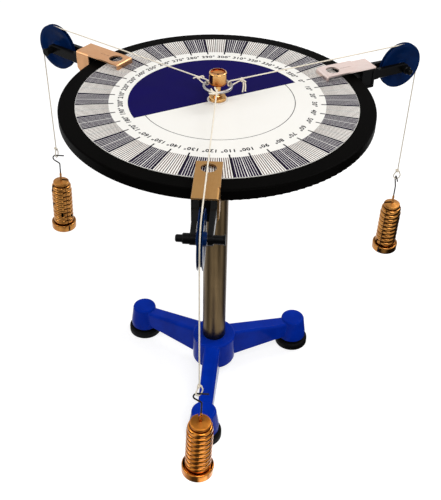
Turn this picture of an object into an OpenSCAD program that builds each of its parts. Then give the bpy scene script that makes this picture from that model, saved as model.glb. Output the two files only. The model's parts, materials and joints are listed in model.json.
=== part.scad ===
// Force table for adding forces that act in one plane. A round board with a degree scale
// stands on a tripod, and three clamps on its rim carry pulleys. A string runs from one
// ring over each pulley to a hanger with ten slotted masses.
// Origin on the column's axis at floor level, +Z up. All sizes are in millimetres.

/* [Table board] */
// Height of the dial's face above the floor
table_h = 480; // [460:5:520]
// Diameter of the round board
board_d = 400; // [390:5:420]
// Thickness of the board
board_t = 15; // [13:1:18]
// Radius of the board's rounded rim edges
board_edge_r = 2; // [1:0.5:4]
// Diameter of the dial card
dial_d = 357; // [340:1:370]
// Thickness of the dial card
dial_t = 1; // [0.5:0.1:1.5]

/* [Column] */
// Outer diameter of the column tube
column_d = 35; // [30:1:38]
// Wall of the column tube
column_wall = 2.5; // [2:0.5:4]
// Depth of the hub's socket for the column
socket_depth = 30; // [24:1:34]
// Length of the threaded plug in the foot of the column
plug_len = 22; // [18:1:26]
// Diameter of the bolt that pulls the column down
bolt_d = 10; // [8:1:12]
// Diameter of the flange under the board
flange_d = 92; // [80:1:100]
// Thickness of the flange plate
flange_t = 4; // [3:0.5:6]
// Outer diameter of the flange's collar
collar_d = 46; // [44:1:50]
// Height of the flange's collar
collar_h = 26; // [20:1:32]
// Number of screws that hold the flange
flange_screw_count = 4; // [3:1:6]
// Diameter of the flange screws
flange_screw_d = 4; // [3:0.5:5]

/* [Tripod] */
// Direction of the first leg
leg_azimuth = -94.7; // [-120:0.1:-60]
// Diameter of the hub
hub_d = 66; // [60:1:72]
// Height of the hub's top above the floor
hub_top = 72; // [70:1:78]
// Height of the legs' underside above the floor
leg_under = 24; // [22:1:26]
// Distance from the column's axis to each foot's axis
foot_reach = 142; // [130:1:160]
// Width of a leg beside the hub
leg_w_hub = 25; // [22:1:28]
// Width of a leg beside its boss
leg_w_boss = 21; // [18:1:24]
// Height of a leg's top where it meets its boss
leg_top_boss = 46; // [44:1:50]
// Radius of the legs' rounded top edges
leg_edge_r = 5; // [3:0.5:7]
// Depth of the cast recess under each leg
leg_recess = 3.5; // [2:0.5:3.5]
// Diameter of a boss at its foot
boss_d_low = 44; // [40:1:50]
// Diameter of a boss at its top
boss_d_top = 37; // [34:1:40]
// Height of a boss's underside above the floor
boss_under = 14; // [13.5:0.5:18]
// Height of a boss's top above the floor
boss_top = 53; // [52:1:58]

/* [Levelling feet] */
// Diameter of the foot pads
pad_d = 52; // [46:1:60]
// Height of the foot pads
pad_h = 12; // [11:0.5:13]
// Diameter of the levelling studs
stud_d = 10; // [8:1:12]
// Length of stud that stands in the boss
stud_engaged = 26; // [24:1:28]
// Width across the flats of the stud's hexagon
stud_flats = 17; // [15:1:19]
// Diameter of the stud's round base, which turns in the pad
stud_base_d = 20; // [18:1:24]
// Depth of the pad's pocket for that base
pad_pocket = 5; // [4:0.5:6]

/* [Centre pin] */
// Diameter of the washer on the dial
washer_d = 26.5; // [24:0.5:32]
// Thickness of that washer
washer_t = 1; // [0.8:0.1:1.5]
// Diameter of the collar's flange
post_collar_d = 22; // [18:0.5:24]
// Height of the collar's flange
post_collar_h = 4.5; // [3:0.5:6]
// Diameter of the collar's shank in the board
post_shank_d = 13; // [12:0.5:15]
// Diameter of the centre pin
pin_d = 8; // [6:0.5:9]
// Height of the knob's underside above the dial
knob_rise = 22.5; // [21:0.5:28]
// Diameter of the knob on the pin
knob_d = 22; // [18:0.5:24]
// Height of that knob
knob_h = 16; // [12:0.5:20]
// Depth of the dish in the knob's top
knob_dish = 3.5; // [2:0.5:5]
// Outer diameter of the ring that the strings pull on
ring_d = 38.4; // [36:0.1:40]
// Thickness of the ring's wire
ring_wire = 3.8; // [3:0.1:4]

/* [Clamps] */
// Direction of the front clamp
front_azimuth = -92.4; // [-100:0.1:-80]
// Direction of the right clamp
right_azimuth = 26.3; // [20:0.1:40]
// Direction of the left clamp
left_azimuth = 145.2; // [135:0.1:160]
// Thickness of the bracket's sheet
sheet_t = 2; // [1.5:0.1:2.5]
// Width of the bracket
bracket_w = 30; // [26:1:34]
// Height of the top plate's underside above the dial
plate_rise = 5; // [4:0.5:7]
// Distance of the bracket's lip inside the board's rim
lip_in = 47; // [44:1:52]
// Distance of the bracket's outer end past the rim
plate_out = 28; // [26:1:32]
// Inner radius of the bracket's bends
bend_r = 1.5; // [1:0.5:3]
// Gap between the rim and the bracket's cheek
cheek_gap = 6; // [4:0.5:8]
// Space under the board, above the bracket's lower plate
jaw_gap = 7; // [6:0.5:9]
// Distance of the lower plate's outer end inside the bracket's end
lower_back = 4; // [3:0.5:6]
// Distance of the lower plate's free edge inside the bracket's side
lower_side_in = 3; // [2:0.5:4]
// Diameter of the hole through which the dial is read
read_hole_d = 18; // [14:0.5:20]
// Distance of that hole inside the rim
read_hole_in = 31; // [28:1:34]
// Length of the scribed index line
index_len = 16; // [8:1:18]
// Width of the scribed index line
index_w = 0.7; // [0.4:0.1:1]
// Depth of the scribed index line
index_depth = 0.4; // [0.2:0.1:0.8]
// Distance of the clamp screw inside the rim
screw_in = 42; // [38:1:43]
// Diameter of the clamp screw
screw_d = 6; // [5:0.5:8]
// Diameter of the clamp screw's head
screw_head_d = 20; // [16:1:24]
// Height of the clamp screw's head
screw_head_h = 9; // [7:0.5:12]
// Space between the head and the bracket when the clamp is tight
screw_stand = 9; // [8:0.5:12]
// Diameter of the pressing disc on the screw's tip
press_d = 12; // [10:0.5:14]
// Thickness of the pressing disc
press_t = 3; // [2.5:0.1:3.5]

/* [Pulleys] */
// Distance of a pulley's axle past the rim
axle_out = 79; // [74:1:86]
// Depth of a pulley's axle below the dial
axle_drop = 7; // [6:0.5:9]
// Diameter of the pulleys
pulley_d = 64; // [56:1:70]
// Width of a pulley's rim
pulley_w = 6.4; // [5.6:0.2:8]
// Depth of the groove
groove_depth = 3.8; // [3.4:0.2:4.4]
// Width of the groove's mouth
groove_mouth = 5; // [4.4:0.2:6]
// Width of the groove's bottom
groove_floor = 2.4; // [2:0.2:3]
// Thickness of a pulley's dished web
web_t = 2.6; // [2:0.2:4]
// Diameter of a pulley's hub
pulley_hub_d = 15; // [13:0.5:18]
// Diameter of the pulley axles
axle_d = 5; // [4:0.5:6]
// Radial clearance of turning and sliding fits
fit_clearance = 0.06; // [0.03:0.01:0.1]
// Space between the fork's arms
fork_gap = 12; // [10:0.5:14]
// Height of a fork arm
arm_h = 13; // [11:0.5:15]
// Thickness of a fork arm at its root
arm_t_root = 7; // [6:0.5:8]
// Thickness of a fork arm at its tip
arm_t_tip = 6; // [5:0.5:7]
// Bevel on the outer edges of a fork arm
arm_bevel = 1.2; // [0.6:0.2:2]
// Length of the fork's block along the radius
block_len = 20; // [16:1:21]
// Diameter of the screws that hold the fork
fork_screw_d = 4; // [3:0.5:5]
// Distance between those two screws
fork_screw_pitch = 12; // [10:1:13]
// Diameter of the axle knob's collar
axle_collar_d = 11.5; // [9:0.5:13]
// Length of the axle knob's collar
axle_collar_h = 7.6; // [5:0.2:9]
// Diameter of the axle knob's tip
axle_tip_d = 8; // [7:0.5:10]
// Length of the axle knob's tip
axle_tip_h = 7; // [5:0.5:9]
// Diameter of the axle cap
cap_d = 9.4; // [8:0.2:12]
// Length of the axle cap
cap_h = 12.5; // [9:0.5:14]
// Diameter of the axle cap's rounded flange
cap_flange_d = 11; // [10:0.5:14]

/* [Hangers and masses] */
// Diameter of a slotted mass
mass_d = 32.5; // [28:0.5:36]
// Distance from one mass to the next
mass_pitch = 8; // [7:0.2:9]
// Number of masses on each hanger
mass_count = 10; // [1:1:10]
// Bevel on the edges of a mass
mass_bevel = 1.6; // [0.8:0.1:2.2]
// Width of the slot in a mass
slot_w = 4; // [3.6:0.1:5]
// Diameter of a hanger's base
base_d = 40; // [37:0.5:44]
// Thickness of a hanger's base
base_h = 12; // [9:0.5:14]
// Diameter of a hanger's rod
rod_d = 3.4; // [3:0.1:3.4]
// Length of rod above the masses
rod_above = 12; // [10:0.5:14]
// Diameter of a hanger's hook wire
hook_wire = 2; // [1.6:0.1:2.2]
// Height of the hook above the masses
hook_rise = 46; // [44:1:52]
// Distance of the rod beside the point where the hook hangs
rod_aside = 3.5; // [3:0.1:4]
// Radius of the hook's round bend
hook_r = 5; // [4.5:0.1:5.5]
// Length of the hook's straight tip past the string
hook_tip = 11; // [8:0.5:13]
// Lean of a hanger, which puts its weight under the string
hanger_lean = 2.4; // [1.5:0.1:3.5]
// Height at which the front hanger hangs on its string
front_hang = 276; // [240:1:300]
// Height at which the right hanger hangs
right_hang = 279; // [240:1:300]
// Height at which the left hanger hangs
left_hang = 281; // [240:1:300]

/* [Hidden] */
$fn = 96;

enamel_blue = [0.06, 0.16, 0.72];
rubber_black = [0.03, 0.03, 0.03];
plastic_black = [0.05, 0.05, 0.06];
pulley_blue = [0.04, 0.12, 0.38];
steel_grey = [0.6, 0.6, 0.62];
column_steel = [0.42, 0.38, 0.32];
sheet_metal = [0.78, 0.58, 0.38];
brass_gold = [0.8, 0.58, 0.22];
card_white = [0.98, 0.98, 0.95];
cord_cream = [0.93, 0.9, 0.82];

// Small amount by which a cutting shape runs past the face it cuts
past = 1;

rim_r = board_d / 2;
board_top = table_h - dial_t;
board_bottom = board_top - board_t;

flange_bottom = board_bottom - flange_t;
column_bottom = hub_top - socket_depth;
plug_d = column_d - 2 * column_wall;
bolt_hole_d = bolt_d + 1;
bolt_head_flats = 1.7 * bolt_d;
bolt_head_h = 0.64 * bolt_d;
washer_out_d = 2.1 * bolt_d;
base_washer_t = 2;
bolt_cover = 1;
bolt_recess = bolt_head_h + base_washer_t + bolt_cover;
bolt_recess_d = washer_out_d + 3;
recess_roof = leg_under + bolt_recess;
leg_drop = 0.7;
screw_circle_r = (flange_d + collar_d) / 4;
screw_bite = 10;

stud_base_bottom = pad_h - pad_pocket;
hex_in_pad = 1.6;
hex_gap = 0.4;
stud_hex_bottom = pad_h - hex_in_pad;
stud_hex_top = boss_under - hex_gap;
stud_top = boss_under + stud_engaged;
stud_hole_spare = 4;
stud_hole_top = stud_top + stud_hole_spare;

collar_top = table_h + washer_t + post_collar_h;
pin_lift = 3;
pin_bottom = board_bottom + pin_lift;
knob_bottom = table_h + knob_rise;
ring_r = (ring_d - ring_wire) / 2;
ring_below_knob = 3.5;
ring_z = knob_bottom - ring_below_knob;
pin_in_knob = 1.5;

plate_bottom = table_h + plate_rise;
plate_top = plate_bottom + sheet_t;
jaw_top = board_bottom - jaw_gap;
jaw_bottom = jaw_top - sheet_t;
lip_u = rim_r - lip_in;
plate_end_u = rim_r + plate_out;
cheek_u = rim_r + cheek_gap;
block_u = plate_end_u - block_len;
half_w = bracket_w / 2;
screw_u = rim_r - screw_in;
thread_drawn = 4;
press_socket = 1.6;
head_top = jaw_bottom - screw_stand;

axle_u = rim_r + axle_out;
axle_z = table_h - axle_drop;
pulley_r = pulley_d / 2;
groove_r = pulley_r - groove_depth;
hub_half_w = fork_gap / 2 - 0.35;
arm_out_root = fork_gap / 2 + arm_t_root;
arm_out_tip = fork_gap / 2 + arm_t_tip;
arm_end_u = axle_u + arm_h / 2;
lower_end_u = plate_end_u - lower_back;
bend_out = bend_r + sheet_t;
cheek_low = jaw_bottom + bend_out;
fork_screw_u = (block_u + lower_end_u) / 2;
fork_screw_v = -sheet_t / 2;

string_d = 1.8;
string_sides = 8;
string_run_r = groove_r + string_d / 2 + 0.7;
hang_u = axle_u + string_run_r;
// The string's end round the ring: outward, sideways and upward from the wire's centre
ring_loop = [
    [20, 5, -2], [15, 2, 0.4], [12, 0, 0.8], [7, 0, -1.2], [2.6, 0, -3],
    [0, 0, -3.4], [-2.4, 0, -2.4], [-3.4, 0, 0], [-2.4, 0, 2.4], [0, 0, 3.4]
];
ring_knot = [13, 0, 2.2];
// The string's loop on a hook: along the loop and upward from where the hook hangs
hook_loop = [
    [0, 14], [2.6, 9.6], [5, 4.5], [4.2, 0.4], [2.2, -1.9], [0, -2.4],
    [-2.2, -1.9], [-4.2, 0.4], [-5, 4.5], [-2.6, 9.6], [-2.3, 13.5]
];
hook_knot = [-0.8, 12.6];
knot_r = 2.3;
// Direction of each string's loop and of each hook's tip, seen from above
front_loop_turn = 42;
right_loop_turn = 5;
left_loop_turn = 76;
front_hook_turn = 0;
right_hook_turn = -90;
left_hook_turn = 0;

stack_h = mass_count * mass_pitch;
mass_gap = 0.1;
hang_to_stack = hook_rise + stack_h;
base_floor = 3;
// Slant of the hook's wire below its round bend, the radius of the bend at the slant's foot,
// and where the hook's straight tip starts beside the point where it hangs
hook_bend = 55;
foot_bend_r = 4;
hook_straight = -1.5;
hook_sides = 16;
// Direction of the slot in each mass, from the top one down
front_slots = [95, 10, -5, 30, 60, 140, 80, 20, 110, 45];
right_slots = [-100, 80, 100, 60, 150, 120, 90, 70, -150, -70];
left_slots = [20, -150, -155, 60, 100, -145, 40, -85, -20, 120];

function unit(v) = v / norm(v);

// Direction of a path at its point i
function heading(p, i) =
    i == 0 ? unit(p[1] - p[0]) :
    i == len(p) - 1 ? unit(p[i] - p[i - 1]) :
    unit(unit(p[i + 1] - p[i]) + unit(p[i] - p[i - 1]));

// Sideways direction at point i, carried along from the path's start without twist
function side_way(p, i) =
    i == 0 ? unit(cross(heading(p, 0), [0.3, 1, 0.2])) :
    let (s = side_way(p, i - 1), t = heading(p, i)) unit(s - (s * t) * t);

function tube_ring(p, i, r, sides) =
    let (s = side_way(p, i), w = cross(heading(p, i), s))
    [for (k = [0:sides - 1]) p[i] + r * (cos(360 * k / sides) * s + sin(360 * k / sides) * w)];

// Points of a string in its clamp's frame: out, sideways and up
function string_path(hang_z, turn) = concat(
    [for (q = ring_loop) [ring_r + q[0], q[1], ring_z + q[2]]],
    [for (a = [90:-18:0]) [axle_u + string_run_r * cos(a), 0, axle_z + string_run_r * sin(a)]],
    [for (q = hook_loop) [hang_u + q[0] * cos(turn), q[0] * sin(turn), hang_z + q[1]]]
);

// One unbroken tube along the points p
module tube(p, r, sides) {
    n = len(p);
    points = [for (i = [0:n - 1]) each tube_ring(p, i, r, sides)];
    walls = [
        for (i = [0:n - 2], k = [0:sides - 1])
        let (a = i * sides + k, b = i * sides + (k + 1) % sides)
        each [[a, b + sides, b], [a, a + sides, b + sides]]
    ];
    start_cap = [[for (k = [0:sides - 1]) k]];
    end_cap = [[for (k = [sides - 1:-1:0]) (n - 1) * sides + k]];
    polyhedron(points = points, faces = concat(start_cap, walls, end_cap));
}

// Cylinder that stands on height z
module rod(d, z, h) {
    translate([0, 0, z]) cylinder(d = d, h = h);
}

// Round disc from height z, with its lower and upper edges bevelled
module bevelled_disc(d, z, h, low, high) {
    r = d / 2;
    translate([0, 0, z])
        rotate_extrude()
            polygon([[0, 0], [r - low, 0], [r, low], [r, h - high], [r - high, h], [0, h]]);
}

// Flat outline of a disc's half section with rounded outer corners
module rounded_half(r, h, corner) {
    square([r - corner, h]);
    translate([0, corner]) square([r, h - 2 * corner]);
    for (y = [corner, h - corner]) translate([r - corner, y]) circle(r = corner, $fn = 32);
}

// Hexagonal prism, measured across its flats
module hexagon(flats, z, h) {
    translate([0, 0, z]) cylinder(d = flats / cos(30), h = h, $fn = 6);
}

// Places its children along the sideways axis v, starting at v and going on for h
module across(u, v, z) {
    translate([u, v, z]) rotate([-90, 0, 0]) children();
}

// The clamp's plane seen from the side: x runs outward and y runs up, extruded sideways
module side_extrude(v_from, v_to) {
    translate([0, v_to, 0]) rotate([90, 0, 0]) linear_extrude(v_to - v_from) children();
}

// Thin slice of a leg at radius u, with its two upper corners rounded
module leg_slice(u, w, top) {
    side = w / 2 - leg_edge_r;
    translate([u, 0, 0]) rotate([90, 0, 90]) linear_extrude(0.5) {
        translate([-w / 2, leg_under]) square([w, top - leg_edge_r - leg_under]);
        translate([-side, leg_under]) square([2 * side, top - leg_under]);
        for (x = [-side, side]) translate([x, top - leg_edge_r]) circle(r = leg_edge_r, $fn = 32);
    }
}

module leg() {
    hull() {
        leg_slice(hub_d / 4, leg_w_hub, hub_top - leg_drop);
        leg_slice(hub_d / 2 - 2, leg_w_hub, hub_top - 2 * leg_drop);
        leg_slice(foot_reach, leg_w_boss, leg_top_boss);
    }
}

module leg_hollow() {
    inner = hub_d / 2 + 8;
    outer = foot_reach - boss_d_low / 2 - 6;
    w_in = leg_w_hub / 2 - 5;
    w_out = leg_w_boss / 2 - 4.5;
    translate([0, 0, leg_under - past])
        linear_extrude(leg_recess + past)
            polygon([[inner, -w_in], [outer, -w_out], [outer, w_out], [inner, w_in]]);
}

module boss() {
    shoulder = 4;
    r_top = boss_d_top / 2;
    translate([foot_reach, 0, 0])
        rotate_extrude()
            union() {
                polygon([
                    [0, boss_under], [boss_d_low / 2 - 2, boss_under], [boss_d_low / 2, boss_under + 2],
                    [boss_d_low / 2, leg_under], [r_top, boss_top - shoulder], [0, boss_top - shoulder]
                ]);
                translate([0, boss_top - shoulder - past]) square([r_top - shoulder, shoulder + past]);
                translate([r_top - shoulder, boss_top - shoulder]) circle(r = shoulder, $fn = 40);
            }
}

module tripod_base() {
    color(enamel_blue)
        difference() {
            union() {
                translate([0, 0, leg_under])
                    rotate_extrude() rounded_half(hub_d / 2, hub_top - leg_under, 3);
                for (k = [0:2]) rotate([0, 0, leg_azimuth + 120 * k]) {
                    leg();
                    boss();
                }
            }
            rod(column_d, column_bottom, socket_depth + past);
            rod(bolt_hole_d, leg_under - past, hub_top);
            rod(bolt_recess_d, leg_under - past, bolt_recess + past);
            for (k = [0:2]) rotate([0, 0, leg_azimuth + 120 * k]) {
                leg_hollow();
                translate([foot_reach, 0, 0])
                    rod(stud_d + 2 * fit_clearance, boss_under - past, stud_hole_top - boss_under + past);
            }
        }
}

module column() {
    color(column_steel)
        difference() {
            rod(column_d, column_bottom, flange_bottom - column_bottom);
            rod(plug_d, column_bottom - past, flange_bottom - column_bottom + 2 * past);
        }
}

module column_plug() {
    color(steel_grey)
        difference() {
            bevelled_disc(plug_d, column_bottom, plug_len, 0.2, 1);
            rod(bolt_d, column_bottom - past, plug_len + 2 * past);
        }
}

module column_bolt() {
    color(steel_grey)
        union() {
            hexagon(bolt_head_flats, recess_roof - base_washer_t - bolt_head_h, bolt_head_h);
            rod(bolt_d, recess_roof - base_washer_t - past, column_bottom + plug_len - recess_roof);
        }
}

module column_washer() {
    color(steel_grey)
        difference() {
            rod(washer_out_d, recess_roof - base_washer_t, base_washer_t);
            rod(bolt_hole_d, recess_roof - base_washer_t - past, base_washer_t + 2 * past);
        }
}

module at_flange_screws() {
    for (k = [0:flange_screw_count - 1])
        rotate([0, 0, 45 + 360 * k / flange_screw_count]) translate([screw_circle_r, 0, 0]) children();
}

module board_flange() {
    color(steel_grey)
        difference() {
            union() {
                bevelled_disc(flange_d, flange_bottom, flange_t, 1, 0.2);
                bevelled_disc(collar_d, flange_bottom - collar_h, collar_h + past, 1.5, 0);
            }
            rod(column_d, flange_bottom - collar_h - past, collar_h + past);
            rod(post_shank_d + 2, flange_bottom - past, flange_t + 2 * past);
            at_flange_screws() rod(flange_screw_d + 0.4, flange_bottom - past, flange_t + 2 * past);
        }
}

module flange_screws() {
    head_h = 0.6 * flange_screw_d;
    color(steel_grey)
        at_flange_screws() difference() {
            union() {
                bevelled_disc(2 * flange_screw_d, flange_bottom - head_h, head_h, 0.8, 0);
                rod(flange_screw_d, flange_bottom - past, flange_t + screw_bite + past);
            }
            translate([-flange_screw_d, -0.4, flange_bottom - head_h - past])
                cube([2 * flange_screw_d, 0.8, past + 1]);
        }
}

module table_board() {
    color(plastic_black)
        difference() {
            translate([0, 0, board_bottom]) rotate_extrude() rounded_half(rim_r, board_t, board_edge_r);
            rod(post_shank_d, board_bottom - past, board_t + 2 * past);
            at_flange_screws() rod(flange_screw_d, board_bottom - past, screw_bite + past);
        }
}

module dial_card() {
    color(card_white)
        difference() {
            rod(dial_d, board_top, dial_t);
            rod(post_shank_d, board_top - past, dial_t + 2 * past);
        }
}

module post_washer() {
    color("white")
        difference() {
            bevelled_disc(washer_d, table_h, washer_t, 0, 0.3);
            rod(post_shank_d, table_h - past, washer_t + 2 * past);
        }
}

module post_collar() {
    color(brass_gold)
        difference() {
            union() {
                bevelled_disc(post_collar_d, table_h + washer_t, post_collar_h, 0, 1);
                rod(post_shank_d, board_bottom, table_h + washer_t - board_bottom + past);
            }
            rod(pin_d + 2 * fit_clearance, pin_bottom, collar_top);
        }
}

module centre_post() {
    shoulder_d = pin_d + 4;
    color(brass_gold)
        union() {
            bevelled_disc(pin_d, pin_bottom, knob_bottom - pin_bottom + pin_in_knob, 0.8, 0);
            bevelled_disc(shoulder_d, collar_top, 2, 0, 0.6);
        }
}

module post_knob() {
    r = knob_d / 2;
    edge = 1.5;
    bowl_r = 2.4 * r;
    hole_d = 3;
    hole_depth = 4;
    bowl_z = knob_h - knob_dish + bowl_r;
    color(brass_gold)
        translate([0, 0, knob_bottom])
            difference() {
                rotate_extrude() rounded_half(r, knob_h, edge);
                intersection() {
                    translate([0, 0, knob_h - knob_dish - past]) cylinder(r = r - 1.6, h = knob_dish + 2 * past);
                    translate([0, 0, bowl_z]) sphere(r = bowl_r);
                }
                rod(pin_d, -past, pin_in_knob + past);
                rod(hole_d, knob_h - knob_dish - hole_depth, knob_h);
            }
}

module force_ring() {
    color(steel_grey)
        translate([0, 0, ring_z]) rotate_extrude() translate([ring_r, 0]) circle(d = ring_wire, $fn = 48);
}

module at_foot(k) {
    rotate([0, 0, leg_azimuth + 120 * (k - 1)]) translate([foot_reach, 0, 0]) children();
}

module foot_pad(k) {
    edge = 3.5;
    r = pad_d / 2;
    color(rubber_black)
        at_foot(k) difference() {
            rotate_extrude()
                union() {
                    polygon([[0, 0], [r - 1, 0], [r, 1], [r, pad_h - edge], [0, pad_h - edge]]);
                    translate([0, pad_h - edge - past]) square([r - edge, edge + past]);
                    translate([r - edge, pad_h - edge]) circle(r = edge, $fn = 32);
                }
            rod(stud_base_d + 2 * fit_clearance, stud_base_bottom, pad_h);
        }
}

module foot_stud(k) {
    color(steel_grey)
        at_foot(k) union() {
            rod(stud_base_d, stud_base_bottom, stud_hex_bottom - stud_base_bottom);
            hexagon(stud_flats, stud_hex_bottom - 0.5, stud_hex_top - stud_hex_bottom + 0.5);
            bevelled_disc(stud_d, stud_hex_bottom, stud_top - stud_hex_bottom, 0, 1);
        }
}

// The bracket's sheet seen from the side: lip, bend and top plate
module top_sheet_side() {
    translate([lip_u, table_h]) square([sheet_t, plate_top - bend_out - table_h]);
    translate([lip_u + bend_out, plate_bottom]) square([plate_end_u - lip_u - bend_out, sheet_t]);
    translate([lip_u + bend_out, plate_top - bend_out]) sheet_bend(-bend_out, 0);
}

// Quarter ring of bent sheet in the square whose lower corner is at x, y from the bend's centre
module sheet_bend(x, y) {
    intersection() {
        difference() {
            circle(r = bend_out, $fn = 48);
            circle(r = bend_r, $fn = 48);
        }
        translate([x, y]) square(bend_out);
    }
}

// The bracket's sheet seen from its outer end: edge of the top plate, bend and cheek
module cheek_section() {
    translate([half_w - bend_out - past, plate_bottom]) square([past, sheet_t]);
    translate([half_w - bend_out, plate_top - bend_out]) sheet_bend(0, 0);
    translate([half_w - sheet_t, cheek_low]) square([sheet_t, plate_top - bend_out - cheek_low]);
}

// The same below the cheek: bend and edge of the lower plate
module lower_bend_section() {
    translate([half_w - sheet_t, cheek_low]) square([sheet_t, past]);
    translate([half_w - bend_out, cheek_low]) sheet_bend(0, -bend_out);
    translate([half_w - bend_out - past, jaw_bottom]) square([past, sheet_t]);
}

// Runs a section that is seen from the outer end along the radius, from the cheek's inner end
module along_cheek(end_u) {
    translate([end_u, 0, 0]) rotate([90, 0, -90]) mirror([1, 0, 0]) linear_extrude(end_u - cheek_u) children();
}

module bracket() {
    corner = 4;
    lower_in_u = screw_u - press_d / 2 - 2;
    lower_low_v = lower_side_in - half_w;
    difference() {
        union() {
            intersection() {
                side_extrude(-half_w, half_w) top_sheet_side();
                translate([0, 0, table_h - past]) linear_extrude(plate_top - table_h + 2 * past)
                    union() {
                        translate([lip_u - past, -half_w]) square([cheek_u - lip_u + past, bracket_w]);
                        translate([cheek_u - past, -half_w])
                            square([plate_end_u - cheek_u + past, bracket_w - bend_out]);
                    }
            }
            along_cheek(plate_end_u) cheek_section();
            along_cheek(lower_end_u) lower_bend_section();
            translate([0, 0, jaw_bottom]) linear_extrude(sheet_t)
                union() {
                    translate([lower_in_u + corner, lower_low_v])
                        square([lower_end_u - lower_in_u - corner, half_w - bend_out - lower_low_v]);
                    translate([lower_in_u, lower_low_v + corner])
                        square([corner + past, half_w - bend_out - lower_low_v - corner]);
                    translate([lower_in_u + corner, lower_low_v + corner]) circle(r = corner, $fn = 48);
                    translate([lower_in_u, half_w - bend_out - past])
                        square([cheek_u - lower_in_u - 0.5, bend_out + past]);
                }
            translate([screw_u, 0, 0]) rod(2 * screw_d, jaw_bottom - thread_drawn, thread_drawn + sheet_t / 2);
        }
        translate([rim_r - read_hole_in, 0, 0]) rod(read_hole_d, plate_bottom - past, sheet_t + 2 * past);
        translate([rim_r - read_hole_in + read_hole_d / 2 + 3, -index_w / 2, plate_top - index_depth])
            cube([index_len, index_w, index_depth + past]);
        translate([screw_u, 0, 0])
            rod(screw_d + 2 * fit_clearance, jaw_bottom - thread_drawn - past, thread_drawn + sheet_t + 2 * past);
        at_fork_screws() rod(fork_screw_d, jaw_bottom - past, sheet_t + 2 * past);
        // The cheek's lower outer corner is cut off
        side_extrude(half_w - bend_out, half_w + past)
            polygon([
                [lower_end_u, cheek_low], [plate_end_u + past, cheek_low],
                [plate_end_u + past, cheek_low + lower_back + past]
            ]);
    }
}

module at_fork_screws() {
    for (s = [-1, 1])
        translate([fork_screw_u, fork_screw_v + s * fork_screw_pitch / 2, 0]) children();
}

module fork_arm(side) {
    top = arm_h / 2;
    slope = 8;
    flat_u = axle_u - arm_h / 2;
    taper = atan((arm_out_root - arm_out_tip) / (flat_u - plate_end_u));
    difference() {
        translate([0, side < 0 ? -arm_out_root : fork_gap / 2, 0])
            side_extrude(0, arm_t_root)
                union() {
                    translate([plate_end_u - past, axle_z - arm_h / 2]) square([axle_u - plate_end_u + past, arm_h]);
                    translate([axle_u, axle_z]) circle(d = arm_h, $fn = 64);
                    polygon([
                        [plate_end_u - past, axle_z + top - past], [plate_end_u + slope, axle_z + top - past],
                        [plate_end_u + slope, axle_z + top], [plate_end_u, plate_bottom],
                        [plate_end_u - past, plate_bottom]
                    ]);
                }
        translate([0, 0, axle_z - arm_h])
            linear_extrude(3 * arm_h)
                polygon([
                    [plate_end_u, side * arm_out_root],
                    [flat_u, side * arm_out_tip],
                    [arm_end_u + past, side * arm_out_tip],
                    [arm_end_u + past, side * (arm_out_root + past)],
                    [plate_end_u, side * (arm_out_root + past)]
                ]);
        for (z = [-top, top])
            translate([plate_end_u, side * arm_out_root, axle_z + z]) rotate([0, 0, -side * taper])
                translate([slope, 0, 0]) rotate([45, 0, 0])
                    translate([0, -arm_bevel / sqrt(2), -arm_bevel / sqrt(2)])
                        cube([axle_out, sqrt(2) * arm_bevel, sqrt(2) * arm_bevel]);
    }
}

module pulley_fork() {
    groove = 1.2;
    difference() {
        union() {
            translate([block_u, -half_w, jaw_top])
                cube([block_len, bracket_w - sheet_t, plate_bottom - jaw_top]);
            fork_arm(-1);
            fork_arm(1);
        }
        across(axle_u, -arm_out_root - past, axle_z) cylinder(d = axle_d, h = 2 * arm_out_root + 2 * past);
        at_fork_screws() rod(fork_screw_d, jaw_top - past, screw_bite + past);
        // Moulded relief on the closed side of the block
        translate([block_u + 3, -half_w - past, jaw_top + 3])
            cube([block_len - 6, groove + past, plate_bottom - jaw_top - 6]);
        // The block clears the inside of the bracket's bends
        translate([block_u - past, half_w - sheet_t, jaw_top]) rotate([0, 90, 0])
            cylinder(r = bend_r + 0.2, h = block_len + 2 * past, $fn = 24);
        translate([block_u - past, half_w - sheet_t, plate_bottom]) rotate([0, 90, 0])
            cylinder(r = bend_r + 0.2, h = block_len + 2 * past, $fn = 24);
    }
}

module fork_screws() {
    head_h = 0.55 * fork_screw_d;
    at_fork_screws() difference() {
        union() {
            rod(fork_screw_d, jaw_bottom - past, sheet_t + screw_bite + past);
            bevelled_disc(1.9 * fork_screw_d, jaw_bottom - head_h, head_h, 0.7, 0);
        }
        translate([-fork_screw_d, -0.4, jaw_bottom - head_h - past]) cube([2 * fork_screw_d, 0.8, past + 1]);
    }
}

module pulley_axle() {
    across(axle_u, -arm_out_tip - axle_collar_h + 1.5, axle_z)
        cylinder(d = axle_d, h = 2 * arm_out_tip + axle_collar_h + cap_h - 4);
}

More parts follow.
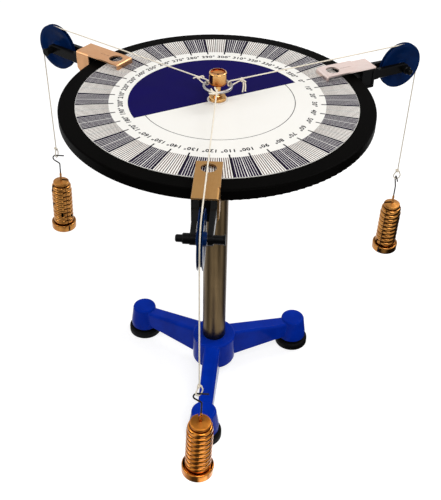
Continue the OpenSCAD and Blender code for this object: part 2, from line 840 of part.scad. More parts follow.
// Half section of a pulley: x is the radius, y runs across it
module pulley_section() {
    half = pulley_w / 2;
    lip = (pulley_w - groove_mouth) / 2;
    bore_r = axle_d / 2 + fit_clearance;
    hub_r = pulley_hub_d / 2;
    dish_in = hub_r + 3;
    dish_out = groove_r - 2.5;
    polygon([
        [bore_r, -hub_half_w], [hub_r - 0.8, -hub_half_w], [hub_r, -hub_half_w + 0.8],
        [hub_r + 0.6, -web_t / 2 - 0.6], [dish_in, -web_t / 2], [(dish_in + dish_out) / 2, -web_t / 2 - 0.2],
        [dish_out - 3, -half + 0.9], [dish_out, -half + 0.2], [dish_out + 1.5, -half],
        [pulley_r - lip, -half], [pulley_r, -half + lip],
        [groove_r, -groove_floor / 2], [groove_r, groove_floor / 2],
        [pulley_r, half - lip], [pulley_r - lip, half],
        [dish_out + 1.5, half], [dish_out, half - 0.2], [dish_out - 3, half - 0.9],
        [(dish_in + dish_out) / 2, web_t / 2 + 0.2], [dish_in, web_t / 2], [hub_r + 0.6, web_t / 2 + 0.6],
        [hub_r, hub_half_w - 0.8], [hub_r - 0.8, hub_half_w], [bore_r, hub_half_w]
    ]);
}

module pulley() {
    across(axle_u, 0, axle_z) rotate_extrude($fn = 128) pulley_section();
}

module axle_knob() {
    across(axle_u, -arm_out_tip, axle_z) rotate([180, 0, 0])
        difference() {
            union() {
                bevelled_disc(axle_collar_d, 0, axle_collar_h, 0.3, 1);
                bevelled_disc(axle_tip_d, axle_collar_h - past, axle_tip_h + past, 0, 1.2);
            }
            rod(axle_d, -past, axle_collar_h - 1.5 + past);
        }
}

module axle_cap() {
    flange_h = 2.2;
    across(axle_u, arm_out_tip, axle_z)
        difference() {
            union() {
                rod(cap_d, 0, cap_h - 1);
                translate([0, 0, cap_h - flange_h]) rotate_extrude() rounded_half(cap_flange_d / 2, flange_h, 0.9);
            }
            rod(axle_d, -past, cap_h - 2.5 + past);
        }
}

module clamp_screw() {
    notches = 16;
    shank_top = board_bottom - press_t + press_socket;
    translate([screw_u, 0, 0])
        difference() {
            union() {
                bevelled_disc(screw_head_d, head_top - screw_head_h, screw_head_h, 1, 1);
                bevelled_disc(screw_d, head_top - past, shank_top - head_top + past, 0, 0.5);
            }
            for (k = [0:notches - 1])
                rotate([0, 0, 360 * k / notches]) translate([screw_head_d / 2 + 0.5, 0, 0])
                    rod(2.4, head_top - screw_head_h - past, screw_head_h + 2 * past);
        }
}

module press_disc() {
    translate([screw_u, 0, 0])
        difference() {
            bevelled_disc(press_d, board_bottom - press_t, press_t, 0.6, 0.2);
            rod(screw_d + 2 * fit_clearance, board_bottom - press_t - past, press_socket + past);
        }
}

module string(hang_z, turn) {
    union() {
        tube(string_path(hang_z, turn), string_d / 2, string_sides);
        translate([ring_r + ring_knot[0], ring_knot[1], ring_z + ring_knot[2]]) sphere(r = knot_r, $fn = 12);
        translate([hang_u + hook_knot[0] * cos(turn), hook_knot[0] * sin(turn), hang_z + hook_knot[1]])
            sphere(r = knot_r, $fn = 12);
    }
}

// Moves a hanger from its own frame, where it hangs at the origin, onto its string
module hang(azimuth, hang_z, hook_turn) {
    rotate([0, 0, azimuth]) translate([hang_u, 0, hang_z]) rotate([0, 0, hook_turn - azimuth])
        rotate([0, hanger_lean, 0]) children();
}

module hanger_base() {
    translate([rod_aside, 0, -hang_to_stack - base_h])
        difference() {
            rotate_extrude() rounded_half(base_d / 2, base_h, 1.5);
            rod(rod_d, base_floor, base_h);
        }
}

// Points of the hook's wire: up from the rod, round the bend and out along the tip
function hook_path(start_z) =
    let (
        lobe = [hook_straight, -hook_r],
        leave = lobe + hook_r * [cos(180 + hook_bend), sin(180 + hook_bend)],
        join_x = rod_aside - foot_bend_r * (1 - cos(hook_bend)),
        join_z = leave[1] - (join_x - leave[0]) / tan(hook_bend),
        bend_z = join_z - foot_bend_r * sin(hook_bend)
    ) concat(
        [[rod_aside, 0, start_z]],
        [for (a = [0:hook_bend / 4:hook_bend])
            [rod_aside - foot_bend_r * (1 - cos(a)), 0, bend_z + foot_bend_r * sin(a)]],
        [for (k = [0:8]) let (a = 180 + hook_bend - k * (90 + hook_bend) / 8)
            [lobe[0] + hook_r * cos(a), 0, lobe[1] + hook_r * sin(a)]],
        [[hook_tip, 0, 0]]
    );

module hanger_rod() {
    rod_top = rod_above - hook_rise;
    foot = base_floor - hang_to_stack - base_h;
    taper = 2;
    union() {
        translate([rod_aside, 0, 0]) {
            rod(rod_d, foot, rod_top - foot);
            translate([0, 0, rod_top]) cylinder(d1 = rod_d, d2 = hook_wire + 0.5, h = taper);
        }
        tube(hook_path(rod_top), hook_wire / 2, hook_sides);
    }
}

module slotted_mass(turn) {
    rotate([0, 0, turn])
        difference() {
            bevelled_disc(mass_d, 0, mass_pitch - mass_gap, mass_bevel, mass_bevel);
            rod(slot_w, -past, mass_pitch + 2 * past);
            translate([0, -slot_w / 2, -past]) cube([mass_d, slot_w, mass_pitch + 2 * past]);
        }
}

module masses(slots) {
    for (i = [0:mass_count - 1])
        translate([rod_aside, 0, -hook_rise - (i + 1) * mass_pitch]) slotted_mass(slots[i]);
}

module clamp_node(name, azimuth, hang_z, loop_turn, hook_turn, slots) {
    rotate([0, 0, azimuth]) {
        color(sheet_metal) bracket();
        color(plastic_black) pulley_fork();
        color(steel_grey) fork_screws();
        color(steel_grey) pulley_axle();
        color(pulley_blue) pulley();
        color(plastic_black) axle_knob();
        color(plastic_black) axle_cap();
        color(steel_grey) clamp_screw();
        color(steel_grey) press_disc();
        color(cord_cream) string(hang_z, loop_turn - azimuth);
    }
    hang(azimuth, hang_z, hook_turn) {
        color(brass_gold) hanger_base();
        color(steel_grey) hanger_rod();
        color(brass_gold) masses(slots);
    }
}

tripod_base();
column();
column_plug();
column_bolt();
column_washer();
board_flange();
flange_screws();
table_board();
dial_card();
post_washer();
post_collar();
centre_post();
post_knob();
force_ring();
for (k = [1:3]) {
    foot_pad(k);
    foot_stud(k);
}
clamp_node("front", front_azimuth, front_hang, front_loop_turn, front_hook_turn, front_slots);
clamp_node("right", right_azimuth, right_hang, right_loop_turn, right_hook_turn, right_slots);
clamp_node("left", left_azimuth, left_hang, left_loop_turn, left_hook_turn, left_slots);
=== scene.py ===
"""Force table on its tripod: finishes, the dial's print, the cords, the hooks and the masses.

The solid construction is the frame. This script dresses its parts and adds what a plain solid
leaves out: the printed degree scale, twisted cords with their knots, smooth hook wires in
their sleeves, and slotted masses with rounded edges. Lengths are in metres unless a name ends
in _mm, and angles are in radians unless a name or a note says degrees.
"""

import json
import logging
import math
from collections.abc import Callable, Mapping, Sequence
from dataclasses import dataclass, field, replace
from enum import Enum
from typing import Any

import bmesh
import bpy
from mathutils import Matrix, Vector


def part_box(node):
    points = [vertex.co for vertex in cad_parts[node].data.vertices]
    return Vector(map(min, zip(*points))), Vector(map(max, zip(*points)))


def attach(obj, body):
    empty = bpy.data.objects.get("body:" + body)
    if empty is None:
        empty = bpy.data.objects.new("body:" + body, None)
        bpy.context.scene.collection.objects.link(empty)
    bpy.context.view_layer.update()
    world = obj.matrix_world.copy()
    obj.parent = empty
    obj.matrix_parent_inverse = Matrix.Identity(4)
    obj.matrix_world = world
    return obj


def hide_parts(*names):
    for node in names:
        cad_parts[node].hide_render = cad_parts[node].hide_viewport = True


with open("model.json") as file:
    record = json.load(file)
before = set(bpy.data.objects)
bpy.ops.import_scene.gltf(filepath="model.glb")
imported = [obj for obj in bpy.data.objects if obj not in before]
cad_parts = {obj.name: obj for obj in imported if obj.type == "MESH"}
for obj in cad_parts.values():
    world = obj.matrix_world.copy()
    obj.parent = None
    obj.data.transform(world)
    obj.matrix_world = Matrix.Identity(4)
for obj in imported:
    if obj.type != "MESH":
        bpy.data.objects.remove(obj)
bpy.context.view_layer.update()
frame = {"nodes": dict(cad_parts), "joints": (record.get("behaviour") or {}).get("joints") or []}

MM = 0.001
CLAMPS = ("front", "right", "left")
ROD_ASIDE_MM = 3.5
HOOK_RISE_MM = 46.0

Colour = tuple[float, float, float]
Outline = Sequence[tuple[float, float]]
Chain = Sequence[tuple[float, float, float]]
Shape = bmesh.types.BMesh
Material = bpy.types.Material
Socket = bpy.types.NodeSocket
Given = Mapping[str, Socket]

log = logging.getLogger("force_table")


# Shapes

@dataclass(frozen=True)
class Sweep:
    """A round section carried along a path, with the grooves of a twisted cord where it ripples."""

    points: Sequence[Vector]
    radius: float
    sides: int = 12
    ripple: float = 0.0
    strands: int = 3
    lay: float = 4.0 * MM
    end_scale: float = 1.0

    def section(self, turn: float, distance: float) -> float:
        """Gives the section's radius at an angle and a distance along the path.

        Args:
            turn: Angle round the section.
            distance: Distance from the path's start.

        Returns:
            The radius there, with the grooves between the strands.
        """
        phase = self.strands * (turn - 2 * math.pi * distance / self.lay)
        return self.radius * (1 - self.ripple * (1 - abs(math.cos(phase / 2))))

    def add_to(self, shape: Shape) -> None:
        """Adds the swept surface, closed at both ends, to a mesh.

        Args:
            shape: The mesh that takes the surface.
        """
        distance = 0.0
        side = _any_side(self.points[1] - self.points[0])
        last = len(self.points) - 1
        rings: list[list[bmesh.types.BMVert]] = []
        for i, point in enumerate(self.points):
            ahead = self.points[min(i + 1, last)] - self.points[max(i - 1, 0)]
            ahead.normalize()
            side = (side - ahead * side.dot(ahead)).normalized()
            across = ahead.cross(side)
            if i:
                distance += (point - self.points[i - 1]).length
            scale = 1.0 + (self.end_scale - 1.0) * i / last
            ring = []
            for k in range(self.sides):
                turn = 2 * math.pi * k / self.sides
                outward = math.cos(turn) * side + math.sin(turn) * across
                ring.append(shape.verts.new(point + self.section(turn, distance) * scale * outward))
            rings.append(ring)
        for low, high in zip(rings, rings[1:]):
            for k in range(self.sides):
                n = (k + 1) % self.sides
                shape.faces.new((low[k], low[n], high[n], high[k]))
        shape.faces.new(list(reversed(rings[0])))
        shape.faces.new(rings[-1])


def _any_side(ahead: Vector) -> Vector:
    """Gives some direction square to a heading, by way of one that no path here takes."""
    unlike_any_path = Vector((0.3, 1.0, 0.2))
    return ahead.cross(unlike_any_path).normalized()


def smooth_path(points: Sequence[Vector], step: float, fewest: int = 4) -> list[Vector]:
    """Rounds a chain of points into an even curve through all of them.

    Args:
        points: The points to pass through.
        step: Distance between the points of the curve.
        fewest: Fewest pieces between two points, before the curve is spaced evenly.

    Returns:
        Points on a centripetal curve, one step apart.
    """
    chain = [2 * points[0] - points[1], *points, 2 * points[-1] - points[-2]]
    dense: list[Vector] = [points[0].copy()]
    for a, b, c, d in zip(chain, chain[1:], chain[2:], chain[3:]):
        t1 = math.sqrt((b - a).length)
        t2 = t1 + math.sqrt((c - b).length)
        t3 = t2 + math.sqrt((d - c).length)
        pieces = max(fewest, int((c - b).length / step) + 1)
        for i in range(1, pieces + 1):
            t = t1 + (t2 - t1) * i / pieces
            ab = a * (t1 - t) / t1 + b * t / t1
            bc = b * (t2 - t) / (t2 - t1) + c * (t - t1) / (t2 - t1)
            cd = c * (t3 - t) / (t3 - t2) + d * (t - t2) / (t3 - t2)
            abc = ab * (t2 - t) / t2 + bc * t / t2
            bcd = bc * (t3 - t) / (t3 - t1) + cd * (t - t1) / (t3 - t1)
            dense.append(abc * (t2 - t) / (t2 - t1) + bcd * (t - t1) / (t2 - t1))
    return even_steps(dense, step)


def even_steps(points: Sequence[Vector], step: float) -> list[Vector]:
    """Spaces points evenly along a chain, and keeps its two ends.

    Args:
        points: The chain.
        step: Distance between two points of the result.

    Returns:
        The evenly spaced points.
    """
    total = path_length(points)
    count = max(2, round(total / step))
    spaced = [points[0].copy()]
    target = total / count
    walked = 0.0
    for a, b in zip(points, points[1:]):
        span = (b - a).length
        while span > 0 and walked + span >= target * len(spaced) and len(spaced) < count:
            spaced.append(a.lerp(b, (target * len(spaced) - walked) / span))
        walked += span
    spaced.append(points[-1].copy())
    return spaced


def path_length(points: Sequence[Vector]) -> float:
    """Adds up the distances along a chain of points."""
    return sum((b - a).length for a, b in zip(points, points[1:]))


def arc(centre: Vector, u: Vector, v: Vector, start: float, end: float, pieces: int) -> list[Vector]:
    """Gives points along an arc.

    Args:
        centre: The arc's centre.
        u: From the centre to the point at 0 degrees.
        v: From the centre to the point at 90 degrees.
        start: First angle, in degrees.
        end: Last angle, in degrees.
        pieces: Number of steps between them.

    Returns:
        The points from start to end.
    """
    angles = [math.radians(start + (end - start) * i / pieces) for i in range(pieces + 1)]
    return [centre + u * math.cos(a) + v * math.sin(a) for a in angles]


def revolve(shape: Shape, outline: Outline, place: Matrix, sides: int) -> None:
    """Turns an outline of radius and height round the Z axis and adds it to a mesh.

    Args:
        shape: The mesh that takes the surface.
        outline: Points of radius and height, from the axis round to the axis.
        place: Where the turned piece goes.
        sides: Number of steps round.
    """
    rings: list[list[bmesh.types.BMVert]] = []
    for radius, height in outline:
        count = sides if radius > 0 else 1
        turns = [2 * math.pi * k / count for k in range(count)]
        corners = [Vector((radius * math.cos(t), radius * math.sin(t), height)) for t in turns]
        rings.append([shape.verts.new(place @ corner) for corner in corners])
    for low, high in zip(rings, rings[1:]):
        for k in range(sides):
            n = (k + 1) % sides
            around = [low[k % len(low)], low[n % len(low)], high[n % len(high)], high[k % len(high)]]
            unique = list(dict.fromkeys(around))
            if len(unique) > 2:
                shape.faces.new(unique)


def into_scene(name: str, data: bpy.types.ID) -> bpy.types.Object:
    """Makes an object and puts it in the scene.

    Args:
        name: The object's name.
        data: Its mesh, lamp or camera.

    Returns:
        The object.
    """
    made = bpy.data.objects.new(name, data)
    bpy.context.scene.collection.objects.link(made)
    return made


def add_piece(
    name: str,
    shape: Shape,
    material: Material,
    body: str,
    sharp_degrees: float = 35.0,
) -> bpy.types.Object:
    """Turns a mesh into a piece that rides on a body.

    Args:
        name: The piece's name.
        shape: Its mesh, which is used up.
        material: Its finish.
        body: The body that carries it.
        sharp_degrees: Angle above which an edge stays sharp.

    Returns:
        The new object.
    """
    bmesh.ops.recalc_face_normals(shape, faces=shape.faces)
    mesh = bpy.data.meshes.new(name)
    shape.to_mesh(mesh)
    shape.free()
    mesh.shade_smooth()
    mesh.set_sharp_from_angle(angle=math.radians(sharp_degrees))
    mesh.materials.append(material)
    piece = into_scene(name, mesh)
    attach(piece, body)
    log.info("%s: %d faces on %s", name, len(mesh.polygons), body)
    return piece


# Shader groups

class Web:
    """Short calls for making and joining the nodes of one tree, laid out in rows."""

    columns = 12
    column_wide = 180
    row_high = 260

    def __init__(self, tree: bpy.types.NodeTree) -> None:
        """Keeps the tree and starts at its first place."""
        self.tree = tree
        self.count = 0

    def node(self, kind: str, inputs: dict[Any, Any] | None = None, **settings: Any) -> bpy.types.Node:
        """Makes one node and sets or links its inputs.

        Args:
            kind: The node's type.
            inputs: Values or sockets by input name or number.
            **settings: The node's own properties.

        Returns:
            The new node.
        """
        made = self.tree.nodes.new(kind)
        row, column = divmod(self.count, self.columns)
        made.location = (self.column_wide * column, -self.row_high * row)
        self.count += 1
        for name, value in settings.items():
            setattr(made, name, value)
        for name, value in (inputs or {}).items():
            self.feed(made.inputs[name], value)
        return made

    def feed(self, socket: Socket, value: Any) -> None:
        """Links a socket to another one, or sets its value.

        Args:
            socket: The input.
            value: The output to link it to, or a plain value.
        """
        if isinstance(value, Socket):
            self.tree.links.new(value, socket)
        else:
            socket.default_value = value

    def maths(self, operation: str, a: Any, b: Any = 0.0) -> Socket:
        """Gives the result of a sum on one or two numbers."""
        return self.node("ShaderNodeMath", {0: a, 1: b}, operation=operation).outputs[0]

    def vectors(self, operation: str, inputs: dict[Any, Any], output: str = "Vector") -> Socket:
        """Gives the result of a sum on vectors."""
        return self.node("ShaderNodeVectorMath", inputs, operation=operation).outputs[output]

    def noise(self, place: Any, scale: Any, detail: float, roughness: float = 0.5) -> Socket:
        """Gives soft noise over a place."""
        inputs = {"Vector": place, "Scale": scale, "Detail": detail, "Roughness": roughness}
        return self.node("ShaderNodeTexNoise", inputs).outputs[0]

    def spread(self, value: Any, low: Any, high: Any, to_low: float = 0.0, to_high: float = 1.0) -> Socket:
        """Stretches the range from low to high onto another range, and clips it there."""
        inputs = {"Value": value, "From Min": low, "From Max": high, "To Min": to_low, "To Max": to_high}
        return self.node("ShaderNodeMapRange", inputs, interpolation_type="SMOOTHSTEP").outputs[0]

    def mix(self, mask: Any, a: Any, b: Any) -> Socket:
        """Mixes two colours by a mask."""
        inputs = {"Factor": mask, 6: _opaque(a), 7: _opaque(b)}
        return self.node("ShaderNodeMix", inputs, data_type="RGBA").outputs[2]

    def group(self, name: str, inputs: dict[str, Any]) -> Socket:
        """Places a shader group and gives its mask."""
        return self.node("ShaderNodeGroup", inputs, node_tree=bpy.data.node_groups[name]).outputs["Mask"]


def _opaque(colour: Any) -> Any:
    """Adds full alpha to a plain colour and leaves a socket alone."""
    return (*colour, 1.0) if isinstance(colour, tuple) and len(colour) == 3 else colour


def empty_web(owner: Material | bpy.types.World) -> Web:
    """Turns on the nodes of a material or a world, and clears them.

    Args:
        owner: The material or world.

    Returns:
        Its nodes.
    """
    owner.use_nodes = True
    owner.node_tree.nodes.clear()
    return Web(owner.node_tree)


def draw_mottle(web: Web, given: Given) -> Socket:
    """Draws the cloudy patches that keep a surface from being one flat colour.

    Args:
        web: The group's nodes.
        given: The group's inputs: Vector, Size and Softness.

    Returns:
        The mask.
    """
    scale = web.maths("DIVIDE", 1.0, given["Size"])
    clouds = web.noise(given["Vector"], scale, detail=5.0, roughness=0.6)
    low = web.maths("SUBTRACT", 0.5, given["Softness"])
    high = web.maths("ADD", 0.5, given["Softness"])
    return web.spread(clouds, low, high)


def draw_streaks(web: Web, given: Given) -> Socket:
    """Draws the fine streaks of brushed or drawn metal, which run along the vector's X.

    Args:
        web: The group's nodes.
        given: The group's inputs: Vector and Pitch.

    Returns:
        The mask.
    """
    pulled = web.vectors("MULTIPLY", {0: given["Vector"], 1: (0.03, 1.0, 1.0)})
    sized = web.vectors("SCALE", {0: pulled, "Scale": web.maths("DIVIDE", 1.0, given["Pitch"])})
    return web.spread(web.noise(sized, 1.0, detail=3.0), low=0.3, high=0.7)


def draw_rings(web: Web, given: Given) -> Socket:
    """Draws the fine rings that a lathe leaves round the vector's Z axis.

    Args:
        web: The group's nodes.
        given: The group's inputs: Vector and Pitch.

    Returns:
        The mask.
    """
    parts = web.node("ShaderNodeSeparateXYZ", {0: given["Vector"]}).outputs
    flat = web.node("ShaderNodeCombineXYZ", {"X": parts["X"], "Y": parts["Y"]}).outputs[0]
    across = web.maths("DIVIDE", web.vectors("LENGTH", {0: flat}, "Value"), given["Pitch"])
    along = web.maths("DIVIDE", parts["Z"], given["Pitch"])
    place = web.node("ShaderNodeCombineXYZ", {"X": across, "Y": along}).outputs[0]
    return web.spread(web.noise(place, 1.0, detail=2.0), low=0.32, high=0.68)


def draw_skin(web: Web, given: Given) -> Socket:
    """Draws the fine even roughness of a casting, a moulding or a coat of paint."""
    noise = web.noise(given["Vector"], web.maths("DIVIDE", 1.0, given["Pitch"]), detail=3.0)
    return web.spread(noise, low=0.25, high=0.75)


def draw_edge_wear_and_highlight(web: Web, given: Given) -> Socket:
    """Draws the rounded edges, where a rounded normal parts from the true one, for rubbed wear and, on some
    finishes such as the enamel, a painted highlight.

    Args:
        web: The group's nodes.
        given: The group's inputs: Vector and Width.

    Returns:
        The mask, broken up by noise.
    """
    rounded = web.node("ShaderNodeBevel", {"Radius": given["Width"]}, samples=4).outputs[0]
    true = web.node("ShaderNodeNewGeometry").outputs["Normal"]
    match = web.vectors("DOT_PRODUCT", {0: rounded, 1: true}, "Value")
    edge = web.spread(web.maths("SUBTRACT", 1.0, match), low=0.02, high=0.25)
    broken = web.spread(web.noise(given["Vector"], 900.0, detail=4.0), low=0.3, high=0.6)
    return web.maths("MULTIPLY", edge, broken)


def draw_hollow_shade(web: Web, given: Given) -> Socket:
    """Draws the hollows, by how much of the sky the surface hides, for soiling and tarnish there and for
    painted shade in hollows, under things and between parts.
    """
    sky = web.node("ShaderNodeAmbientOcclusion", {"Distance": given["Reach"]}, samples=8).outputs["AO"]
    return web.spread(web.maths("SUBTRACT", 1.0, sky), given["From"], given["To"])


@dataclass(frozen=True)
class Mask:
    """A shader group that the finishes share, which puts out one mask."""

    name: str
    inputs: dict[str, float | None]
    draw: Callable[[Web, Given], Socket]

    def build(self) -> None:
        """Makes the group with its named sockets, of which the one without a number is a vector."""
        tree = bpy.data.node_groups.new(self.name, "ShaderNodeTree")
        for label, default in self.inputs.items():
            kind = "NodeSocketVector" if default is None else "NodeSocketFloat"
            socket = tree.interface.new_socket(label, in_out="INPUT", socket_type=kind)
            if default is not None:
                socket.default_value = default
        tree.interface.new_socket("Mask", in_out="OUTPUT", socket_type="NodeSocketFloat")
        web = Web(tree)
        mask = self.draw(web, web.node("NodeGroupInput").outputs)
        web.node("NodeGroupOutput", {"Mask": mask})


MASKS = (
    Mask("mottle", {"Vector": None, "Size": 0.02, "Softness": 0.18}, draw_mottle),
    Mask("drawn", {"Vector": None, "Pitch": 0.0006}, draw_streaks),
    Mask("turned", {"Vector": None, "Pitch": 0.0006}, draw_rings),
    Mask("skin", {"Vector": None, "Pitch": 0.001}, draw_skin),
    Mask("edge_wear_and_highlight", {"Vector": None, "Width": 0.0004}, draw_edge_wear_and_highlight),
    Mask("hollow_shade", {"Reach": 0.003, "From": 0.15, "To": 0.75}, draw_hollow_shade),
)


class Grain(Enum):
    """The way a surface was made, and the name of the shader group that shows it."""

    SKIN = "skin"
    DRAWN = "drawn"
    TURNED = "turned"


# Finishes

@dataclass(frozen=True)
class Finish:
    """One finish: its colours, its gloss, the traces of how it was made and used, painted shade in its
    hollows and painted highlights on some rounded edges.
    """

    name: str
    colour: Colour
    second: Colour
    # The third colour goes into the hollows as soiling and painted shade; the fourth goes onto the rounded
    # edges as wear and, on some finishes, a painted highlight.
    soiling_and_shade: Colour
    wear_and_highlight_colour: Colour
    metallic: float = 0.0
    rough_low: float = 0.3
    rough_high: float = 0.45
    gloss: float = 0.5
    brushed: float = 0.0
    coat: float = 0.0
    coat_rough: float = 0.06
    sheen: float = 0.0
    grain: Grain = Grain.SKIN
    pitch_mm: float = 1.0
    relief: float = 0.1
    relief_mm: float = 0.1
    grain_tint: float = 0.2
    patch_mm: float = 25.0
    patch: float = 0.5
    # Reach and shares of the painted shade with soiling in the hollows, and width and share of the edges'
    # wear and painted highlight.
    reach_mm: float = 3.0
    hidden_from: float = 0.15
    hidden_to: float = 0.75
    shade_and_soiling_share: float = 0.6
    edge_band_mm: float = 0.4
    edge_wear_and_highlight: float = 0.4

    def material(self, origin: Vector | None = None, turn: float = 0.0, lift: float = 0.0) -> Material:
        """Builds the finish as a material, with its grain laid out about a place.

        Args:
            origin: The point that the grain is measured from.
            turn: Angle about Z to which the grain is turned.
            lift: Angle about Y to which the grain is tipped.

        Returns:
            The material.
        """
        made = bpy.data.materials.new(self.name)
        made.diffuse_color = (*self.colour, 1.0)
        web = empty_web(made)
        place = web.node("ShaderNodeTexCoord").outputs["Object"]
        if origin is not None or turn or lift:
            start = tuple(origin) if origin is not None else (0.0, 0.0, 0.0)
            place = web.vectors("SUBTRACT", {0: place, 1: start})
            for back in ((0.0, 0.0, -turn), (0.0, -lift, 0.0)):
                place = web.node("ShaderNodeVectorRotate", {"Vector": place, "Rotation": back},
                                 rotation_type="EULER_XYZ").outputs[0]
        grain = web.group(self.grain.value, {"Vector": place, "Pitch": self.pitch_mm * MM})
        clouds = web.group("mottle", {"Vector": place, "Size": self.patch_mm * MM})
        hollow = web.group("hollow_shade", {"Reach": self.reach_mm * MM, "From": self.hidden_from,
                                       "To": self.hidden_to})
        edge = web.group("edge_wear_and_highlight", {"Vector": place, "Width": self.edge_band_mm * MM})
        colour: Any = self.colour
        # Mixes in the patches, the grain, painted shade with soiling in the hollows, and wear with a painted
        # highlight on the edges.
        for mask, share, other in (
            (clouds, self.patch, self.second),
            (grain, self.grain_tint, self.second),
            (hollow, self.shade_and_soiling_share, self.soiling_and_shade),
            (edge, self.edge_wear_and_highlight, self.wear_and_highlight_colour),
        ):
            colour = web.mix(web.maths("MULTIPLY", mask, share), colour, other)
        uneven = web.maths("ADD", web.maths("MULTIPLY", grain, 0.5), web.maths("MULTIPLY", clouds, 0.5))
        rough = web.spread(uneven, 0.0, 1.0, self.rough_low, self.rough_high)
        relief = web.node("ShaderNodeBump", {"Strength": self.relief, "Distance": self.relief_mm * MM,
                                             "Height": grain})
        surface = web.node("ShaderNodeBsdfPrincipled", {
            "Base Color": colour, "Roughness": rough, "Metallic": self.metallic,
            "Specular IOR Level": self.gloss, "Coat Weight": self.coat, "Anisotropic": self.brushed,
            "Coat Roughness": self.coat_rough, "Sheen Weight": self.sheen, "Normal": relief.outputs[0],
        })
        if self.brushed:
            round_axis = web.node("ShaderNodeTangent", direction_type="RADIAL", axis="Z")
            web.feed(surface.inputs["Tangent"], round_axis.outputs[0])
        web.node("ShaderNodeOutputMaterial", {"Surface": surface.outputs[0]})
        return made


# The enamel's hollows and the parts near its joints take painted shade out to 18 mm, and its pale blue edge
# colour is a painted highlight along the rounded edges.
ENAMEL = Finish(
    "blue_enamel", colour=(0.0015, 0.031, 0.42), second=(0.001, 0.013, 0.2), soiling_and_shade=(0.001, 0.004, 0.04),
    wear_and_highlight_colour=(0.03, 0.14, 0.85), rough_low=0.08, rough_high=0.16, gloss=0.03, pitch_mm=2.4,
    grain_tint=0.12, patch_mm=45.0, reach_mm=18.0, shade_and_soiling_share=0.8, edge_band_mm=2.0, edge_wear_and_highlight=0.45)
# The column's near-black hollow colour is painted shade where it meets the hub and the flange.
COLUMN_STEEL = Finish(
    "column_steel", colour=(0.14, 0.095, 0.047), second=(0.09, 0.061, 0.03), soiling_and_shade=(0.012, 0.01, 0.008),
    wear_and_highlight_colour=(0.4, 0.33, 0.24), metallic=1.0, rough_low=0.28, rough_high=0.38, brushed=0.5,
    grain=Grain.DRAWN, pitch_mm=0.8, relief=0.05, grain_tint=0.35, patch_mm=60.0, reach_mm=8.0)
STEEL = Finish(
    "plain_steel", colour=(0.42, 0.4, 0.39), second=(0.3, 0.285, 0.275), soiling_and_shade=(0.03, 0.027, 0.024),
    wear_and_highlight_colour=(0.75, 0.74, 0.72), metallic=1.0, rough_low=0.2, rough_high=0.36, grain=Grain.TURNED, pitch_mm=0.5,
    relief=0.06, patch_mm=12.0)
HOOK_STEEL = Finish(
    "hook_steel", colour=(0.03, 0.026, 0.024), second=(0.016, 0.014, 0.014), soiling_and_shade=(0.004, 0.004, 0.004),
    wear_and_highlight_colour=(0.2, 0.18, 0.16), metallic=1.0, rough_low=0.28, rough_high=0.5, pitch_mm=0.5, relief=0.08,
    patch_mm=6.0, edge_wear_and_highlight=0.3)
SHEET = Finish(
    "bare_sheet", colour=(0.74, 0.4, 0.2), second=(0.62, 0.33, 0.16), soiling_and_shade=(0.1, 0.035, 0.02),
    wear_and_highlight_colour=(0.92, 0.82, 0.7), metallic=1.0, rough_high=0.5, grain=Grain.DRAWN, pitch_mm=0.5,
    relief=0.05, grain_tint=0.3, patch_mm=16.0, shade_and_soiling_share=0.5, edge_band_mm=0.5, edge_wear_and_highlight=0.8)
# Copies of the bare sheet that differ only in brightness: the front one darker as painted shade, the right
# one paler as painted light.
SHADED_SHEET_AT_FRONT = replace(SHEET, name="shaded_sheet_at_front", colour=(0.48, 0.26, 0.085), second=(0.38, 0.2, 0.065))
LIT_SHEET_AT_RIGHT = replace(SHEET, name="lit_sheet_at_right", colour=(0.9, 0.76, 0.71), second=(0.72, 0.55, 0.5))
# The near-black hollow colour at full share is painted shade in the grooves between the masses and round the
# rod, with a little tarnish.
BRASS = Finish(
    "turned_brass", colour=(0.62, 0.23, 0.036), second=(0.36, 0.11, 0.013), soiling_and_shade=(0.012, 0.003, 0.001),
    wear_and_highlight_colour=(0.95, 0.68, 0.3), metallic=1.0, rough_low=0.08, rough_high=0.14, grain=Grain.TURNED, pitch_mm=0.45,
    relief=0.04, patch_mm=12.0, patch=0.8, reach_mm=5.0, shade_and_soiling_share=1.0, edge_band_mm=0.3, edge_wear_and_highlight=0.3)
# A darker copy of the same brass for the side stacks: painted shade.
SHADED_BRASS = replace(BRASS, name="shaded_brass", colour=(0.52, 0.235, 0.058), second=(0.26, 0.1, 0.02))
PIN_BRASS = replace(BRASS, name="pin_brass", colour=(0.78, 0.47, 0.19), second=(0.62, 0.3, 0.08), patch=0.4)
# The knob's deep orange hollow colour over a 16 mm reach is painted shade in its dished top.
KNOB_BRASS = replace(PIN_BRASS, name="knob_brass", soiling_and_shade=(0.36, 0.07, 0.002), reach_mm=16.0,
                     hidden_from=0.01, hidden_to=0.22)
BOARD = Finish(
    "black_board", colour=(0.0014, 0.0013, 0.0012), second=(0.0026, 0.0023, 0.002),
    soiling_and_shade=(0.001, 0.001, 0.001), wear_and_highlight_colour=(0.014, 0.013, 0.011), rough_low=0.34, rough_high=0.48, gloss=0.007,
    pitch_mm=0.9, patch_mm=35.0, edge_band_mm=0.7, edge_wear_and_highlight=0.6, shade_and_soiling_share=0.3)
CARD = Finish(
    "dial_card", colour=(0.925, 0.905, 0.86), second=(0.895, 0.87, 0.81), soiling_and_shade=(0.5, 0.45, 0.37),
    wear_and_highlight_colour=(0.94, 0.93, 0.9), rough_low=0.4, rough_high=0.55, gloss=0.2, pitch_mm=0.5, relief=0.03,
    grain_tint=0.1, patch_mm=60.0, patch=0.4, reach_mm=1.5, shade_and_soiling_share=0.25, edge_wear_and_highlight=0.2)
